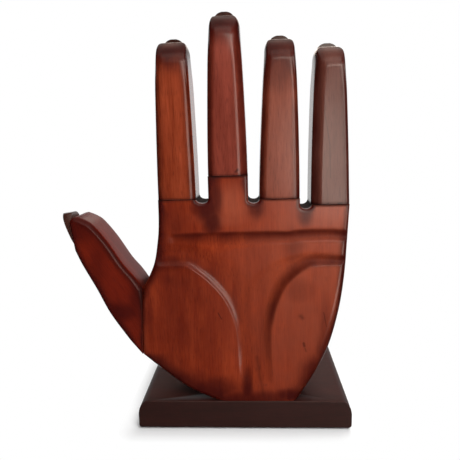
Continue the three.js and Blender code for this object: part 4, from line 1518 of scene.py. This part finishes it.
# %% [markdown]
# The light is soft: a pale room all round, a large softbox high beside the camera and one behind. The
# lacquer mirrors warm panels that light nothing else: a tall one to the right, which draws the arrises
# and the life line, a small one level with the fingers, a lamp, a haze and a ceiling for their tips, and
# one behind for the base's top. Everything else that it mirrors in front is dark, which keeps its reds
# deep, so a black dome stands there for reflections only. The backdrop is white.

# %% Light
AMBIENT = 0.22
WHITE = (1, 1, 1, 1)
WARM_WHITE = (1, 0.95, 0.84)
REAR_TINT = (1, 0.86, 0.76)
AIM = Vector((0, -0.04, 0.14))


def softbox(name, azimuth, elevation, size, brightness):
    """An area light 1 m away, so many degrees to the right of the front and above the level."""
    lamp = bpy.data.lights.new(name, "AREA")
    lamp.shape = "RECTANGLE"
    lamp.size, lamp.size_y = size
    lamp.energy = brightness * math.pi * size[0] * size[1]
    made = bpy.data.objects.new(name, lamp)
    bpy.context.scene.collection.objects.link(made)
    across, up = math.radians(azimuth), math.radians(elevation)
    way = Vector((math.sin(across) * math.cos(up), -math.cos(across) * math.cos(up), math.sin(up)))
    made.location = AIM + way
    made.rotation_euler = (-way).to_track_quat("-Z", "Y").to_euler()
    return made


key = softbox("key", 25, 42, (0.6, 0.6), 9.4)
back = softbox("back", 150, 50, (0.8, 0.8), 4.0)
for lamp in (key, back):
    lamp.visible_glossy = False
panels = [
    softbox("right_panel", 40, -2, (0.54, 1.1), 8.0),
    softbox("level_panel", 14, 0, (0.24, 0.3), 11.0),
    softbox("overhead_panel", 17, 22, (0.54, 0.1), 13.0),
    softbox("overhead_haze", 8, 42, (0.9, 0.9), 1.6),
    softbox("ceiling_panel", 0, 88, (1.4, 2.0), 1.1),
    softbox("rear_panel", 178, 27, (0.5, 0.24), 2.5),
]
for panel in panels:
    panel.data.color = WARM_WHITE
    panel.visible_diffuse = False
panels[-1].data.color = REAR_TINT
print("lights:", len(bpy.data.lights))

# %% The pale room and the white backdrop
world = bpy.data.worlds.new("studio")
bpy.context.scene.world = world
world.use_nodes = True
tree = world.node_tree
path = add_node(tree, "ShaderNodeLightPath").outputs
seen = calc(tree, "MAXIMUM", path["Is Camera Ray"], path["Is Glossy Ray"])
seen = calc(tree, "MAXIMUM", seen, path["Is Transmission Ray"])
ambient = tree.nodes["Background"]
ambient.inputs["Color"].default_value = WHITE
ambient.inputs["Strength"].default_value = AMBIENT
backdrop = add_node(tree, "ShaderNodeBackground", {"Color": WHITE, "Strength": 1})
mixed = add_node(tree, "ShaderNodeMixShader", {0: seen, 1: ambient.outputs[0], 2: backdrop.outputs[0]})
tree.links.new(mixed.outputs[0], tree.nodes["World Output"].inputs["Surface"])

# %% Dark dome, open behind, for reflections only
DOME_RADIUS = 2.0
DOME_STEPS = 24
OPEN_BEYOND = math.radians(130)
OPEN_BELOW = math.radians(16)
MATT = {"Roughness": 1.0, "Specular_IOR_Level": 0.0}
BLACK = (0, 0, 0, 1)


def dark_dome():
    azimuth = np.linspace(-math.pi, math.pi, 2 * DOME_STEPS + 1)
    elevation = np.linspace(-math.pi / 2, math.pi / 2, DOME_STEPS + 1)
    a, e = np.meshgrid(azimuth, elevation)
    points = DOME_RADIUS * np.stack([np.sin(a) * np.cos(e), -np.cos(a) * np.cos(e), np.sin(e)], axis=-1)
    count = len(azimuth)
    shut = (np.abs(a) < OPEN_BEYOND) | (e > OPEN_BELOW)
    rows, columns = np.nonzero(shut[:-1, :-1] | shut[:-1, 1:])
    corner = rows * count + columns
    faces = np.stack([corner, corner + 1, corner + count + 1, corner + count], axis=1)
    mesh = bpy.data.meshes.new("dark_dome")
    mesh.from_pydata(points.reshape(-1, 3).tolist(), [], faces.tolist())
    return show("dark_dome", mesh)


dome = dark_dome()
dome.visible_camera = False
dome.visible_diffuse = False
dome.visible_transmission = False
dome.visible_shadow = False
dome_finish, _, _ = finish("black_cloth", Base_Color=BLACK, **MATT)
cover_with(dome, dome_finish)

# %% [markdown]
# The floor is plain and pale. Close to the stand it takes the soft shadow, and further off it melts into
# the white of the backdrop.

# %% Floor
FLOOR_SIZE = 4.0
SHADOW_NEAR = 0.001
SHADOW_FAR = 0.014
FLOOR_TONE = (0.9, 0.9, 0.9, 1)

floor_mesh = bpy.data.meshes.new("floor")
half = FLOOR_SIZE / 2
floor_corners = [[-half, -half, 0], [half, -half, 0], [half, half, 0], [-half, half, 0]]
floor_mesh.from_pydata(floor_corners, [], [[0, 1, 2, 3]])
floor = show("floor", floor_mesh)
floor.visible_glossy = False
floor_finish, tree, shader = finish("pale_floor", Base_Color=FLOOR_TONE, **MATT)
past = vectors(tree, "SUBTRACT", vectors(tree, "ABSOLUTE", own_place(tree)), base_high)
away = vectors(tree, "LENGTH", vectors(tree, "MAXIMUM", past, (0, 0, 0)), result="Value")
far = rescale(tree, away, SHADOW_NEAR, SHADOW_FAR, 0, 1)
to_camera = add_node(tree, "ShaderNodeLightPath").outputs["Is Camera Ray"]
glow = add_node(tree, "ShaderNodeEmission", {"Color": WHITE, "Strength": 1})
melted = {0: calc(tree, "MULTIPLY", far, to_camera), 1: shader.outputs[0], 2: glow.outputs[0]}
result = add_node(tree, "ShaderNodeMixShader", melted).outputs[0]
tree.links.new(result, tree.nodes["Material Output"].inputs["Surface"])
cover_with(floor, floor_finish)
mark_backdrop(floor, dome)

# %% [markdown]
# Last, every piece is hung on one empty, so that the whole stand is one rigid body, and the measured
# nodes that it stands for are hidden. The stand's final bounds are measured.

# %% Pieces and what they stand for
bpy.context.scene.view_settings.view_transform = "Standard"
stands_for = [
    (palm, "hand_wood", ["palm"]),
    (thumb, "hand_wood", ["thumb"]),
    (base, "base_wood", ["base"]),
    (felt, "felt", ["felt"]),
    (dowels, "dowel_wood", list(DOWELS)),
    (screws, "screw_steel", SCREWS),
]
stands_for += [(piece, "hand_wood", [f"{name}_finger"]) for name, piece in fingers.items()]
stands_for += [(piece, "nail_wood", [f"{name}_nail"]) for name, piece in nails.items()]
for piece, slot, nodes in stands_for:
    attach(piece, "root")
    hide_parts(*nodes)

low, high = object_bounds()
